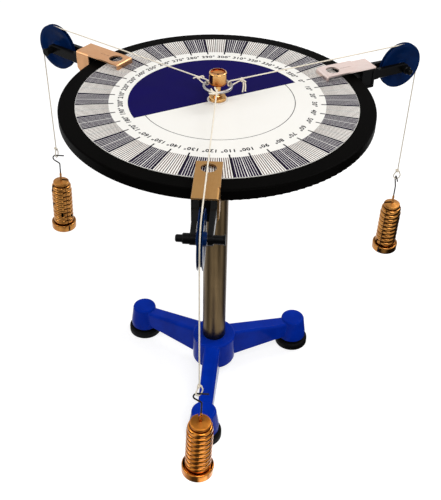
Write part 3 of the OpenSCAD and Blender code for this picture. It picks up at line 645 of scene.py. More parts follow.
BLACK_INK = Finish(
    "black_ink", colour=(0.003, 0.0025, 0.007), second=(0.006, 0.005, 0.014), soiling_and_shade=(0.003, 0.003, 0.003),
    wear_and_highlight_colour=(0.01, 0.01, 0.01), rough_low=0.42, rough_high=0.55, gloss=0.02, pitch_mm=0.4, relief=0.02,
    patch_mm=30.0, shade_and_soiling_share=0.0, edge_wear_and_highlight=0.0)
SECTOR_INK = replace(BLACK_INK, name="sector_ink", colour=(0.015, 0.008, 0.03), second=(0.022, 0.013, 0.044))
GREY_INK = replace(
    BLACK_INK, name="grey_ink", colour=(0.08, 0.03, 0.02), second=(0.1, 0.045, 0.035),
    soiling_and_shade=(0.03, 0.03, 0.03), wear_and_highlight_colour=(0.1, 0.1, 0.1))
NAVY_INK = replace(
    BLACK_INK, name="navy_ink", colour=(0.0075, 0.005, 0.075), second=(0.009, 0.006, 0.095),
    soiling_and_shade=(0.003, 0.002, 0.02), wear_and_highlight_colour=(0.01, 0.01, 0.08), rough_low=0.4, gloss=0.01, pitch_mm=0.5,
    relief=0.03, patch_mm=50.0, shade_and_soiling_share=0.2)
RUBBER = Finish(
    "pad_rubber", colour=(0.003, 0.003, 0.0035), second=(0.006, 0.006, 0.006), soiling_and_shade=(0.002, 0.002, 0.002),
    wear_and_highlight_colour=(0.015, 0.015, 0.015), rough_low=0.5, rough_high=0.7, gloss=0.06, pitch_mm=0.8, relief=0.15,
    patch_mm=14.0)
MOULDED = Finish(
    "black_moulding", colour=(0.0025, 0.0025, 0.003), second=(0.005, 0.005, 0.005),
    soiling_and_shade=(0.001, 0.001, 0.001), wear_and_highlight_colour=(0.03, 0.03, 0.03), rough_low=0.16, rough_high=0.3, gloss=0.06,
    pitch_mm=0.8, relief=0.06, patch_mm=12.0, edge_band_mm=0.5, edge_wear_and_highlight=0.5)
PULLEY_BLUE = Finish(
    "pulley_moulding", colour=(0.0015, 0.017, 0.085), second=(0.001, 0.008, 0.042),
    soiling_and_shade=(0.001, 0.002, 0.01), wear_and_highlight_colour=(0.01, 0.04, 0.18), rough_low=0.08, rough_high=0.18, gloss=0.025,
    grain=Grain.TURNED, pitch_mm=1.2, relief=0.03, patch_mm=20.0, reach_mm=4.0, shade_and_soiling_share=0.5, edge_wear_and_highlight=0.3)
WASHER = Finish(
    "white_washer", colour=(0.86, 0.85, 0.83), second=(0.78, 0.77, 0.74), soiling_and_shade=(0.36, 0.32, 0.26),
    wear_and_highlight_colour=(0.92, 0.92, 0.91), rough_low=0.15, rough_high=0.25, coat=0.5, grain=Grain.TURNED, pitch_mm=0.7,
    relief=0.03, patch_mm=8.0)
CORD = Finish(
    "twisted_cotton", colour=(0.93, 0.87, 0.75), second=(0.82, 0.7, 0.53), soiling_and_shade=(0.4, 0.28, 0.16),
    wear_and_highlight_colour=(0.95, 0.92, 0.86), rough_low=0.75, rough_high=0.9, gloss=0.2, sheen=0.2, pitch_mm=0.25,
    relief=0.25, grain_tint=0.3, patch_mm=5.0, reach_mm=0.5, shade_and_soiling_share=0.45, edge_wear_and_highlight=0.0)


# The clamps' places

@dataclass(frozen=True)
class ClampPlace:
    """Where one clamp stands, read from the construction's joints."""

    name: str
    azimuth: float
    axle: Vector
    hang: Vector
    screw: Vector
    hook_turn: float
    lean: float

    @classmethod
    def read(cls, name: str) -> "ClampPlace":
        """Reads a clamp's place.

        Args:
            name: The clamp's name.

        Returns:
            Its place.
        """
        joints = {joint["name"]: joint for joint in frame["joints"]}
        wheel = joints[f"wheel_{name}_turn"]
        swing = joints[f"hanger_{name}_swing"]
        screw = joints[f"screw_{name}_turn"]
        side = Vector(wheel["axis"])
        tip = Vector(swing["axis"])
        return cls(name, math.atan2(-side.x, side.y), Vector(wheel["pos_m"]), Vector(swing["pos_m"]),
                   Vector(screw["pos_m"]), math.atan2(tip.y, tip.x), math.asin(-tip.z))

    def to_row(self) -> Matrix:
        """Gives the matrix from the clamp's own frame, out along X, to the whole model's."""
        return Matrix.Rotation(self.azimuth, 4, "Z")

    def hanger_to_row(self) -> Matrix:
        """Gives the matrix from the hanger's own frame to the whole model's."""
        return (Matrix.Translation(self.hang) @ Matrix.Rotation(self.hook_turn, 4, "Z")
                @ Matrix.Rotation(self.lean, 4, "Y"))

    @property
    def axle_out(self) -> float:
        """Distance of the axle from the column's axis."""
        return self.axle.xy.length


# Studio

@dataclass(frozen=True)
class Lamp:
    """One soft square lamp."""

    name: str
    place: Vector
    target: Vector
    size: float
    power: float

    def build(self) -> None:
        """Makes the lamp."""
        data = bpy.data.lights.new(self.name, "AREA")
        data.shape = "SQUARE"
        data.size = self.size
        data.energy = self.power
        lamp = into_scene(self.name, data)
        lamp.location = self.place
        lamp.rotation_mode = "QUATERNION"
        lamp.rotation_quaternion = (self.target - self.place).to_track_quat("-Z", "Y")


@dataclass(frozen=True)
class Panel:
    """One dark flag or bright card that only shows in reflections, and gives metal its bands."""

    name: str
    azimuth_degrees: float
    half_wide_degrees: float
    edges: Outline
    shade: float = 0.02
    fade: float = 0.6
    steps: int = 12

    def build(self) -> None:
        """Makes the panel, a curved strip round the object through edges of given radius and height."""
        shares = [2 * i / self.steps - 1 for i in range(self.steps + 1)]
        turns = [math.radians(self.azimuth_degrees + self.half_wide_degrees * share) for share in shares]
        corners = [(r * math.cos(t), r * math.sin(t), z) for t in turns for r, z in self.edges]
        count = len(self.edges)
        faces = [(first + k, first + count + k, first + count + k + 1, first + k + 1)
                 for first in range(0, self.steps * count, count) for k in range(count - 1)]
        mesh = bpy.data.meshes.new(self.name)
        mesh.from_pydata(corners, [], faces)
        mesh.materials.append(self._surface())
        panel = into_scene(self.name, mesh)
        panel.visible_camera = False
        panel.visible_diffuse = False
        panel.visible_transmission = False
        panel.visible_shadow = False

    def _surface(self) -> Material:
        """Makes the panel's glow, which thins out towards its sides and its upper edge.

        Returns:
            The material.
        """
        made = bpy.data.materials.new(f"{self.name}_surface")
        web = empty_web(made)
        place = web.node("ShaderNodeTexCoord").outputs["Object"]
        back = {"Vector": place, "Angle": -math.radians(self.azimuth_degrees)}
        facing = web.node("ShaderNodeVectorRotate", back, rotation_type="Z_AXIS")
        parts = web.node("ShaderNodeSeparateXYZ", {0: facing.outputs[0]}).outputs
        aside = web.maths("ABSOLUTE", web.maths("ARCTAN2", parts["Y"], parts["X"]))
        half, top = math.radians(self.half_wide_degrees), self.edges[-1][1]
        across = web.spread(aside, half * (1 - self.fade), half, 1.0, 0.0)
        up = web.spread(parts["Z"], top * (1 - self.fade), top, 1.0, 0.0)
        glow = web.node("ShaderNodeEmission", {"Color": (self.shade, self.shade, self.shade, 1.0)})
        nothing = web.node("ShaderNodeBsdfTransparent")
        both = web.node("ShaderNodeMixShader", {0: web.maths("MULTIPLY", across, up), 1: nothing.outputs[0],
                                                2: glow.outputs[0]})
        web.node("ShaderNodeOutputMaterial", {"Surface": both.outputs[0]})
        return made


@dataclass
class Studio:
    """Camera, floor, lamps, panels for reflections and the white surroundings."""

    camera_place: Vector = field(default_factory=lambda: Vector((0.0076, -0.9357, 0.9834)))
    camera_pitch_degrees: float = 38.569
    camera_roll_degrees: float = 1.176
    lens_mm: float = 59.62
    sensor_mm: float = 36.0
    nearest: float = 0.02
    farthest: float = 60.0
    floor_half: float = 12.0
    floor_colours: tuple[Colour, Colour] = ((0.48, 0.48, 0.48), (0.51, 0.51, 0.51))
    floor_rough: float = 0.9
    floor_glow: float = 0.72
    ambient: float = 0.42
    lamps: tuple[Lamp, ...] = (
        Lamp("key", Vector((0.6, -1.35, 2.3)), Vector((0, 0, 0.4)), 1.3, 26.0),
        Lamp("side", Vector((-1.9, -0.6, 1.5)), Vector((0, 0, 0.35)), 0.9, 11.0),
        Lamp("rear", Vector((1.7, 1.4, 2.4)), Vector((0, 0, 0.4)), 1.1, 25.0),
    )
    panels: tuple[Panel, ...] = (
        Panel("flag_back", 90.0, 60.0, ((3.0, 2.0), (3.0, 3.1)), shade=0.5, fade=0.2),
        Panel("flag_right", 12.0, 34.0, ((0.12, 0.002), (3.0, 0.002), (3.0, 3.4))),
        Panel("flag_left", 208.0, 26.0, ((0.1, 0.002), (3.0, 0.002), (3.0, 3.0)), shade=0.15),
        Panel("flag_front", 273.0, 32.0, ((0.34, 0.004), (3.0, 0.004), (3.0, 2.4)), shade=0.1),
        Panel("flag_low", 308.0, 20.0, ((0.26, 0.002), (0.62, 0.006)), shade=0.01, fade=0.3),
        Panel("card_column", 286.0, 9.0, ((0.14, 0.002), (0.34, 0.006)), shade=2.4, fade=0.5),
        Panel("card_front", 277.0, 10.0, ((0.34, 0.006), (0.6, 0.009)), shade=5.0, fade=0.6),
        Panel("card_side", 298.0, 9.0, ((0.6, 0.006), (1.1, 0.009)), shade=4.0, fade=0.7),
    )

    def build(self) -> None:
        """Makes everything round the object."""
        self._camera()
        self._world()
        self._floor()
        for piece in (*self.lamps, *self.panels):
            piece.build()
        bpy.context.scene.view_settings.view_transform = "Standard"
        log.info("studio: camera, floor, %d lamps and %d panels", len(self.lamps), len(self.panels))

    def _camera(self) -> None:
        """Places the camera by its pitch and roll."""
        data = bpy.data.cameras.new("camera")
        data.lens = self.lens_mm
        data.sensor_width = self.sensor_mm
        data.clip_start = self.nearest
        data.clip_end = self.farthest
        camera = into_scene("camera", data)
        pitch = math.radians(self.camera_pitch_degrees)
        roll = math.radians(self.camera_roll_degrees)
        ahead = Vector((0.0, math.cos(pitch), -math.sin(pitch)))
        level_up = Vector((0.0, math.sin(pitch), math.cos(pitch)))
        level_right = Vector((1.0, 0.0, 0.0))
        right = math.cos(roll) * level_right + math.sin(roll) * level_up
        up = math.cos(roll) * level_up - math.sin(roll) * level_right
        turned = Matrix((right, up, -ahead)).transposed().to_4x4()
        camera.matrix_world = Matrix.Translation(self.camera_place) @ turned
        bpy.context.scene.camera = camera

    @staticmethod
    def _seen_directly(web: Web) -> Socket:
        """Gives 1 for rays from the camera, from a mirror or through glass.

        Args:
            web: The nodes of the floor or of the surroundings.

        Returns:
            The mask.
        """
        rays = web.node("ShaderNodeLightPath").outputs
        both = web.maths("MAXIMUM", rays["Is Camera Ray"], rays["Is Glossy Ray"])
        return web.maths("MAXIMUM", both, rays["Is Transmission Ray"])

    def _world(self) -> None:
        """Makes the surroundings white to look at and soft as a light."""
        world = bpy.data.worlds.new("surroundings")
        web = empty_web(world)
        strength = web.spread(self._seen_directly(web), 0.0, 1.0, self.ambient, 1.0)
        back = web.node("ShaderNodeBackground", {"Color": (1.0, 1.0, 1.0, 1.0), "Strength": strength})
        web.node("ShaderNodeOutputWorld", {"Surface": back.outputs[0]})
        bpy.context.scene.world = world

    def _floor(self) -> None:
        """Makes the pale floor, a little brighter to the camera than its light makes it."""
        half = self.floor_half
        mesh = bpy.data.meshes.new("floor")
        corners = [(-half, -half, 0), (half, -half, 0), (half, half, 0), (-half, half, 0)]
        mesh.from_pydata(corners, [], [(0, 1, 2, 3)])
        floor = into_scene("floor", mesh)
        made = bpy.data.materials.new("floor_paper")
        web = empty_web(made)
        glow = web.maths("MULTIPLY", self._seen_directly(web), self.floor_glow)
        place = web.node("ShaderNodeTexCoord").outputs["Object"]
        fibre = web.noise(place, 60.0, detail=4.0)
        colour = web.mix(web.spread(fibre, low=0.3, high=0.7), *self.floor_colours)
        surface = web.node("ShaderNodeBsdfPrincipled", {
            "Base Color": colour, "Roughness": self.floor_rough, "Specular IOR Level": 0.0,
            "Emission Color": (1.0, 1.0, 1.0, 1.0), "Emission Strength": glow,
        })
        web.node("ShaderNodeOutputMaterial", {"Surface": surface.outputs[0]})
        mesh.materials.append(made)


# Cords

@dataclass
class StringRun:
    """One string: its loop on the ring, its run over the pulley and its loop on the hook."""

    place: ClampPlace
    hook_loop_turn: float
    ring_knot_out_mm: float
    tails_mm: tuple[Chain, ...]
    diameter: float = 1.8 * MM
    step: float = 0.45 * MM
    ripple: float = 0.22
    groove_reach: float = 29.8 * MM
    groove_pieces: int = 10
    over_ring_mm: Chain = ((-3.4, 0, 0), (-2.4, 0, 2.4), (0, 0, 3.4))
    under_ring_mm: Chain = ((-3.4, 0, 0), (-2.4, 0, -2.4), (0, 0, -3.4), (2.6, 0.3, -3.0))
    round_hook_mm: Outline = (
        (0, 14), (2.6, 9.6), (5, 4.5), (4.2, 0.4), (2.2, -1.9), (0, -2.4),
        (-2.2, -1.9), (-4.2, 0.4), (-5, 4.5), (-2.6, 9.6), (-2.3, 13.5),
    )
    hook_tail_mm: Outline = ((0.0, 0.0), (2.6, -0.6), (4.6, -3.4))
    level_shares: tuple[float, ...] = (0.015, 0.03, 0.97, 0.985)
    drop_shares: tuple[float, ...] = (0.02, 0.04, 0.96, 0.98)
    strand_share: float = 0.5
    strand_halfway: float = 0.55
    tail_flare: float = 1.15
    hook_tail_share: float = 0.42
    hook_tail_flare: float = 1.2
    hook_knot_mm: tuple[float, float] = (-0.8, 12.6)
    knot_high_mm: float = 2.2
    knot_size_mm: float = 0.86
    knot_share: float = 0.46
    knot_sides: int = 10
    knot_steps: int = 72
    ring_knot_tilt: float = 0.4
    hook_knot_tilt: float = 1.3

    def ring_wire(self) -> tuple[float, float]:
        """Gives the place of the ring's wire.

        Returns:
            The radius and the height of the wire's centre line.
        """
        low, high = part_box("force_ring")
        wire = high.z - low.z
        return (high.x - low.x - wire) / 2, (high.z + low.z) / 2

    def at_ring(self, points_mm: Chain) -> list[Vector]:
        """Moves points that are measured from the ring's wire into the whole model's frame.

        Args:
            points_mm: Points outward, sideways and upward from the wire's centre.

        Returns:
            The points in the whole model's frame.
        """
        radius, height = self.ring_wire()
        turned = self.place.to_row()
        return [turned @ Vector((radius + u * MM, v * MM, height + z * MM)) for u, v, z in points_mm]

    def hook_wide(self) -> Vector:
        """Gives the direction in which the hook's loop lies."""
        return Vector((math.cos(self.hook_loop_turn), math.sin(self.hook_loop_turn), 0.0))

    def at_hook(self, points_mm: Outline) -> list[Vector]:
        """Moves points of the hook's loop into the whole model's frame.

        Args:
            points_mm: Points along the loop's width and upward from where the hook hangs.

        Returns:
            The points in the whole model's frame.
        """
        wide = self.hook_wide()
        return [self.place.hang + wide * q * MM + Vector((0, 0, z * MM)) for q, z in points_mm]

    def run(self) -> list[Vector]:
        """Lays the string from the ring's wire over the pulley and round the hook.

        Returns:
            The string's route, one step apart.
        """
        turned = self.place.to_row()
        top = Vector((self.place.axle_out, 0.0, self.place.axle.z))
        outward, upward = Vector((self.groove_reach, 0, 0)), Vector((0, 0, self.groove_reach))
        over = [turned @ p for p in arc(top, outward, upward, 90, 0, self.groove_pieces)]
        start = self.at_ring(self.over_ring_mm)
        level = [start[-1].lerp(over[0], share) for share in self.level_shares]
        loop = self.at_hook(self.round_hook_mm)
        drop = [over[-1].lerp(loop[0], share) for share in self.drop_shares]
        return smooth_path([*start, *level, *over, *drop, *loop], self.step)

    def build(self, material: Material) -> None:
        """Makes the string, its second strand at the ring, its knots and its tails.

        Args:
            material: The cord's finish.
        """
        name = self.place.name
        body = f"clamp_{name}"
        route = self.run()
        shape = bmesh.new()
        Sweep(route, self.diameter / 2, ripple=self.ripple).add_to(shape)
        cord = add_piece(f"cord_{name}", shape, material, body, sharp_degrees=180)
        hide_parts(f"string_{name}")
        knots = add_piece(f"cord_knots_{name}", self._knots(), material, body, sharp_degrees=180)

    def _knots(self) -> Shape:
        """Makes the second strand of the ring's loop, both knots and the loose tails.

        Returns:
            The mesh that holds them all.
        """
        shape = bmesh.new()
        out, high = self.ring_knot_out_mm, self.knot_high_mm
        back_up = ((self.strand_halfway * out + 1, 0.9, -1.0), (out, 0.4, 1.2))
        self._strand(shape, self.at_ring((*self.under_ring_mm, *back_up)), self.strand_share, 1.0)
        ring_knot = self.at_ring([(out, 0.0, high)])[0]
        hook_knot = self.at_hook([self.hook_knot_mm])[0]
        self._knot(shape, ring_knot, self.ring_knot_tilt)
        self._knot(shape, hook_knot, self.hook_knot_tilt)
        for tail in self.tails_mm:
            loose = self.at_ring([(out + u, v, high + z) for u, v, z in tail])
            self._strand(shape, [ring_knot, *loose], self.strand_share, self.tail_flare)
        wide = self.hook_wide()
        end = [hook_knot + wide * q * MM + Vector((0, 0, z * MM)) for q, z in self.hook_tail_mm]
        self._strand(shape, end, self.hook_tail_share, self.hook_tail_flare)
        return shape

    def _strand(self, shape: Shape, points: Sequence[Vector], share: float, end_scale: float) -> None:
        """Adds a short length of cord.

        Args:
            shape: The mesh that takes it.
            points: The points that it runs through.
            share: Its radius, as a share of the string's diameter.
            end_scale: How much wider it is at its end.
        """
        path = smooth_path(points, self.step)
        Sweep(path, self.diameter * share, ripple=self.ripple, end_scale=end_scale).add_to(shape)

    def _knot(self, shape: Shape, centre: Vector, tilt: float) -> None:
        """Adds one tight overhand knot.

        Args:
            shape: The mesh that takes the knot.
            centre: The knot's middle.
            tilt: How far it leans.
        """
        size = self.knot_size_mm * MM
        spin = Matrix.Rotation(self.place.azimuth, 3, "Z") @ Matrix.Rotation(tilt, 3, "X")
        points = []
        for i in range(self.knot_steps + 1):
            t = 2 * math.pi * i / self.knot_steps
            across = math.sin(t) + 2 * math.sin(2 * t)
            along = math.cos(t) - 2 * math.cos(2 * t)
            points.append(centre + spin @ (Vector((across, along, -math.sin(3 * t))) * size))
        radius = self.diameter * self.knot_share
        Sweep(points, radius, sides=self.knot_sides, ripple=self.ripple).add_to(shape)


# Hangers

@dataclass
class Hanger:
    """One hanger's rod, with its brass sleeve and its bent hook wire."""

    place: ClampPlace
    wire_mm: float = 2.0
    wire_sides: int = 20
    wire_step_mm: float = 0.5
    wire_hidden_mm: float = 2.0
    rod_mm: float = 3.4
    rod_sides: int = 40
    aside_mm: float = ROD_ASIDE_MM
    rise_mm: float = HOOK_RISE_MM
    above_mm: float = 12.0
    stack_mm: float = 80.0
    base_mm: float = 12.0
    base_floor_mm: float = 3.0
    hook_mm: float = 5.0
    hook_pieces: int = 26
    foot_mm: float = 4.0
    foot_pieces: int = 12
    bend_degrees: float = 55.0
    lobe_x_mm: float = -1.5
    tip_mm: float = 11.0
    groove_mm: float = 0.15
    groove_levels_mm: tuple[float, ...] = (5.0, 4.6, 3.9, 3.5)
    shoulder_mm: float = 0.6
    shoulder_in_mm: float = 0.25
    taper_mm: float = 1.8
    play_mm: float = 0.1

    def wire_route(self) -> list[Vector]:
        """Lays the hook wire from inside the sleeve, over the bend and round the hook to its tip.

        Returns:
            The route in the hanger's own frame.
        """
        bend = math.radians(self.bend_degrees)
        lobe = Vector((self.lobe_x_mm, 0, -self.hook_mm)) * MM
        across = Vector((self.hook_mm * MM, 0, 0))
        up = Vector((0, 0, self.hook_mm * MM))
        round_part = arc(lobe, across, up, 180 + self.bend_degrees, 90, self.hook_pieces)
        leave = round_part[0]
        join_x = (self.aside_mm - self.foot_mm * (1 - math.cos(bend))) * MM
        join_z = leave.z - (join_x - leave.x) / math.tan(bend)
        foot = Vector(((self.aside_mm - self.foot_mm) * MM, 0, join_z - self.foot_mm * math.sin(bend) * MM))
        foot_arc = arc(foot, Vector((self.foot_mm * MM, 0, 0)), Vector((0, 0, self.foot_mm * MM)), 0,
                       self.bend_degrees, self.foot_pieces)
        start_z = self.above_mm - self.rise_mm - self.wire_hidden_mm
        start = Vector((self.aside_mm * MM, 0, start_z * MM))
        tip = Vector((self.tip_mm * MM, 0, 0))
        return even_steps([start, *foot_arc, *round_part, tip], self.wire_step_mm * MM)

    def sleeve_outline(self) -> list[tuple[float, float]]:
        """Draws the sleeve from its foot to its tapered top, with the groove near its top.

        Returns:
            Pairs of radius and height, in millimetres.
        """
        radius = self.rod_mm / 2
        waist = radius - self.groove_mm
        foot = self.base_floor_mm - self.rise_mm - self.stack_mm - self.base_mm
        top = self.above_mm - self.rise_mm
        end = top + self.taper_mm
        widths = (radius, waist, waist, radius)
        groove = [(wide, top - level) for wide, level in zip(widths, self.groove_levels_mm)]
        return [(0, foot), (radius, foot), *groove, (radius, top - self.shoulder_mm),
                (radius - self.shoulder_in_mm, top), (self.wire_mm / 2 + self.play_mm, end), (0, end)]

    def build(self, brass: Material, steel: Material) -> None:
        """Makes the sleeve and the hook.

        Args:
            brass: The sleeve's finish.
            steel: The hook's finish.
        """
        name = self.place.name
        body = f"hanger_{name}"
        to_row = self.place.hanger_to_row()
        wire = [to_row @ p for p in self.wire_route()]
        shape = bmesh.new()
        Sweep(wire, self.wire_mm / 2 * MM, sides=self.wire_sides).add_to(shape)
        hook = add_piece(f"hook_{name}", shape, steel, body, sharp_degrees=50)
        outline = [(r * MM, z * MM) for r, z in self.sleeve_outline()]
        shape = bmesh.new()
        revolve(shape, outline, to_row @ Matrix.Translation((self.aside_mm * MM, 0, 0)), self.rod_sides)
        add_piece(f"sleeve_{name}", shape, brass, body)
        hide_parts(f"hanger_rod_{name}")


@dataclass
class MassStack:
    """The ten slotted masses on one hanger, each with rounded edges and its slot turned its own way."""

    place: ClampPlace
    slot_turns_degrees: tuple[float, ...]
    upper_diameters_mm: tuple[float, ...] = (25.6, 30.6)
    diameter_mm: float = 32.4
    pitch_mm: float = 8.0
    thick_mm: float = 7.8
    slot_mm: float = 4.0
    upper_round_mm: float = 2.9
    lower_round_mm: float = 2.5
    crown_mm: float = 2.0
    crown_flat_mm: float = 3.4
    crown_round_mm: float = 1.5
    aside_mm: float = ROD_ASIDE_MM
    rise_mm: float = HOOK_RISE_MM
    sides: int = 60
    seat_steps: int = 10
    round_steps: int = 6

    def profile(self, radius: float, crowned: bool) -> list[tuple[float, float]]:
        """Gives the levels of a disc, from its lower face to its upper one.

        Args:
            radius: The disc's radius, in millimetres.
            crowned: Whether its top rises towards the rod.

        Returns:
            Pairs of radius and height, in millimetres.
        """
        if not crowned:
            return self._rounded(radius, self.thick_mm, self.upper_round_mm)
        rim = self._rounded(radius, self.thick_mm - self.crown_mm, self.crown_round_mm)
        return [*rim, (self.crown_flat_mm, self.thick_mm)]

    def _rounded(self, radius: float, thick: float, high: float) -> list[tuple[float, float]]:
        """Gives the levels of a disc with two rounded edges.

        Args:
            radius: The disc's radius.
            thick: Its thickness at the rim.
            high: Radius of the upper edge.

        Returns:
            Pairs of radius and height.
        """
        low = self.lower_round_mm
        quarter = [math.pi / 2 * i / self.round_steps for i in range(self.round_steps + 1)]
        below = [(radius - low * (1 - math.sin(a)), low * (1 - math.cos(a))) for a in quarter]
        above = [(radius - high * (1 - math.cos(a)), thick - high * (1 - math.sin(a))) for a in quarter]
        return below + above

    def outline(self, radius: float) -> list[tuple[float, float]]:
        """Gives one level's outline: round the rim, in along the slot and round the rod's seat.

        Args:
            radius: The level's outer radius, in millimetres.

        Returns:
            Points across the disc, in millimetres.
        """
        half = self.slot_mm / 2
        mouth = math.asin(half / radius)
        rim = [mouth + (2 * math.pi - 2 * mouth) * i / self.sides for i in range(self.sides + 1)]
        seat = [-math.pi / 2 - math.pi * i / self.seat_steps for i in range(self.seat_steps + 1)]
        return ([(radius * math.cos(a), radius * math.sin(a)) for a in rim]
                + [(half * math.cos(a), half * math.sin(a)) for a in seat])

    def add_disc(self, shape: Shape, radius: float, crowned: bool, place: Matrix) -> None:
        """Adds one slotted disc to a mesh.

        Args:
            shape: The mesh that takes the disc.
            radius: The disc's radius, in millimetres.
            crowned: Whether its top rises towards the rod.
            place: Where the disc goes.
        """
        levels = [
            [shape.verts.new(place @ Vector((x * MM, y * MM, z * MM))) for x, y in self.outline(r)]
            for r, z in self.profile(radius, crowned)
        ]
        for low, high in zip(levels, levels[1:]):
            for k in range(len(low)):
                n = (k + 1) % len(low)
                shape.faces.new((low[k], low[n], high[n], high[k]))
        shape.faces.new(list(reversed(levels[0])))
        shape.faces.new(levels[-1])

    def build(self, brass: Material, satin: Material) -> None:
        """Makes the stack: its smaller top mass and the nine below.

        Args:
            brass: The polished finish of the nine.
            satin: The duller finish of the top one.
        """
        top, rest = bmesh.new(), bmesh.new()
        to_row = self.place.hanger_to_row()
        for i, turn in enumerate(self.slot_turns_degrees):
            smaller = i < len(self.upper_diameters_mm)
            across = self.upper_diameters_mm[i] if smaller else self.diameter_mm
            foot = (self.pitch_mm - self.thick_mm) / 2 - self.rise_mm - (i + 1) * self.pitch_mm
            level = Matrix.Translation((self.aside_mm * MM, 0, foot * MM))
            place = to_row @ level @ Matrix.Rotation(math.radians(turn), 4, "Z")
            self.add_disc(top if i == 0 else rest, across / 2, i == 0, place)
        name = self.place.name
        add_piece(f"top_mass_{name}", top, satin, f"stack_{name}", sharp_degrees=40)
        piece = add_piece(f"slotted_masses_{name}", rest, brass, f"stack_{name}", sharp_degrees=40)
        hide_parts(f"masses_{name}")


# The dial

@dataclass
class DialPrint:
    """The printed face of the dial card: degree scale, numbers, navy half and fine arc."""

    zero_azimuth_degrees: float = 26.75
    scale_in_mm: float = 137.0
    scale_out_mm: float = 178.2
    tick_in_mm: float = 130.5
    tick_wide_mm: float = 1.9
    cell_share: float = 0.78
    fourth_cell_share: float = 0.6
    line_wide_mm: float = 1.06
    half_wide_mm: float = 1.1
    number_at_mm: float = 122.0
    number_high_mm: float = 8.8
    number_bold_mm: float = 0.3
    number_spacing: float = 1.12
    number_curve_steps: int = 3
    navy_mm: float = 113.0
    arc_mm: float = 98.0
    arc_wide_mm: float = 0.9
    half_turn_steps: int = 120
    film_mm: float = 0.03
    under_mm: float = 0.015
    face: float = field(init=False)

    def __post_init__(self) -> None:
        """Reads the height of the card's face."""
        self.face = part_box("dial_card")[1].z + self.film_mm * MM

    def point(self, radius_mm: float, degrees: float, aside_mm: float = 0.0) -> Vector:
        """Gives a point on the printed face.

        Args:
            radius_mm: Distance from the centre.
            degrees: Reading on the scale, which runs clockwise.
            aside_mm: Distance to the side of that radius.

        Returns:
            The point in the whole model's frame.
        """
        azimuth = math.radians(self.zero_azimuth_degrees - degrees)
        ahead = Vector((math.cos(azimuth), math.sin(azimuth), 0))
        beside = Vector((-ahead.y, ahead.x, 0))
        flat = (ahead * radius_mm + beside * aside_mm) * MM
        return Vector((flat.x, flat.y, self.face))

    def line(self, shape: Shape, degrees: float, inner_mm: float, wide_mm: float) -> None:
        """Adds a straight line of even width along one radius, out to the scale's edge.

        Args:
            shape: The mesh that takes the line.
            degrees: Reading on the scale.
            inner_mm: Where the line starts.
            wide_mm: Its width.
        """
        half, outer = wide_mm / 2, self.scale_out_mm
        corners = [(inner_mm, half), (inner_mm, -half), (outer, -half), (outer, half)]
        shape.faces.new([shape.verts.new(self.point(r, degrees, aside)) for r, aside in corners])

    def band(
        self,
        shape: Shape,
        start: float,
        end: float,
        inner_mm: float,
        outer_mm: float,
        steps: int = 1,
    ) -> None:
        """Adds a cell between two readings and two radii.

        Args:
            shape: The mesh that takes the cell.
            start: First reading, in degrees.
            end: Last reading, in degrees.
            inner_mm: Inner radius.
            outer_mm: Outer radius.
            steps: Number of pieces round the cell.
        """
        readings = [start + (end - start) * i / steps for i in range(steps + 1)]
        inner = [shape.verts.new(self.point(inner_mm, d)) for d in readings]
        outer = [shape.verts.new(self.point(outer_mm, d)) for d in readings]
        for i in range(steps):
            shape.faces.new((inner[i], inner[i + 1], outer[i + 1], outer[i]))

    def scale(self) -> tuple[Shape, Shape, Shape]:
        """Draws the scale: sectors of ten degrees, by turns dark with white lines and white with grey ones.

        Returns:
            The black lines, the dark cells and the grey lines. The cells lie a little under the lines.
        """
        black, plum, grey = bmesh.new(), bmesh.new(), bmesh.new()
        for tens in range(0, 360, 10):
            self.line(black, tens, self.tick_in_mm, self.tick_wide_mm)
            dark = (tens // 10) % 2 == 0
            for unit in range(10):
                if dark:
                    share = self.fourth_cell_share if unit == 4 else self.cell_share
                    self.band(plum, tens + unit, tens + unit + share, self.scale_in_mm, self.scale_out_mm)
                elif unit == 5:
                    self.line(black, tens + unit, self.scale_in_mm, self.half_wide_mm)
                elif unit:
                    self.line(grey, tens + unit, self.scale_in_mm, self.line_wide_mm)
        bmesh.ops.translate(plum, verts=plum.verts, vec=(0.0, 0.0, -self.under_mm * MM))
        return black, plum, grey

    def numbers(self) -> Shape:
        """Writes every tenth degree, with the tops of the numbers outward.

        Returns:
            The flat mesh of all the numbers.
        """
        shape = bmesh.new()
        for degrees in range(0, 360, 10):
            words = bpy.data.curves.new("number", "FONT")
            words.body = f"{degrees}°"
            words.size = self.number_high_mm * MM
            words.align_x = "CENTER"
            words.align_y = "CENTER"
            words.space_character = self.number_spacing
            words.offset = self.number_bold_mm * MM
            words.resolution_u = self.number_curve_steps
            holder = bpy.data.objects.new("number", words)
            upright = math.radians(self.zero_azimuth_degrees - degrees) - math.pi / 2
            place = Matrix.Translation(self.point(self.number_at_mm, degrees))
            flat = holder.to_mesh()
            flat.transform(place @ Matrix.Rotation(upright, 4, "Z"))
            shape.from_mesh(flat)
            holder.to_mesh_clear()
            bpy.data.objects.remove(holder)
            bpy.data.curves.remove(words)
        return shape

    def build(self) -> None:
        """Makes the print as thin pieces on the card."""
        black_ink = BLACK_INK.material()
        black, plum, grey = self.scale()
        half, steps = self.arc_wide_mm / 2, self.half_turn_steps
        self.band(black, 0, 180, self.arc_mm - half, self.arc_mm + half, steps)
        navy = bmesh.new()
        rim = [self.point(self.navy_mm, 180 + 180 * i / steps) for i in range(steps + 1)]
        navy.faces.new([navy.verts.new(corner) for corner in rim])
        for name, shape, ink in (
            ("dial_scale", black, black_ink),
            ("dial_fine_lines", grey, GREY_INK.material()),
            ("dial_dark_cells", plum, SECTOR_INK.material()),
            ("dial_navy_half", navy, NAVY_INK.material()),
            ("dial_numbers", self.numbers(), black_ink),
        ):
            add_piece(name, shape, ink, "stand")


# Dressing of the construction's own parts

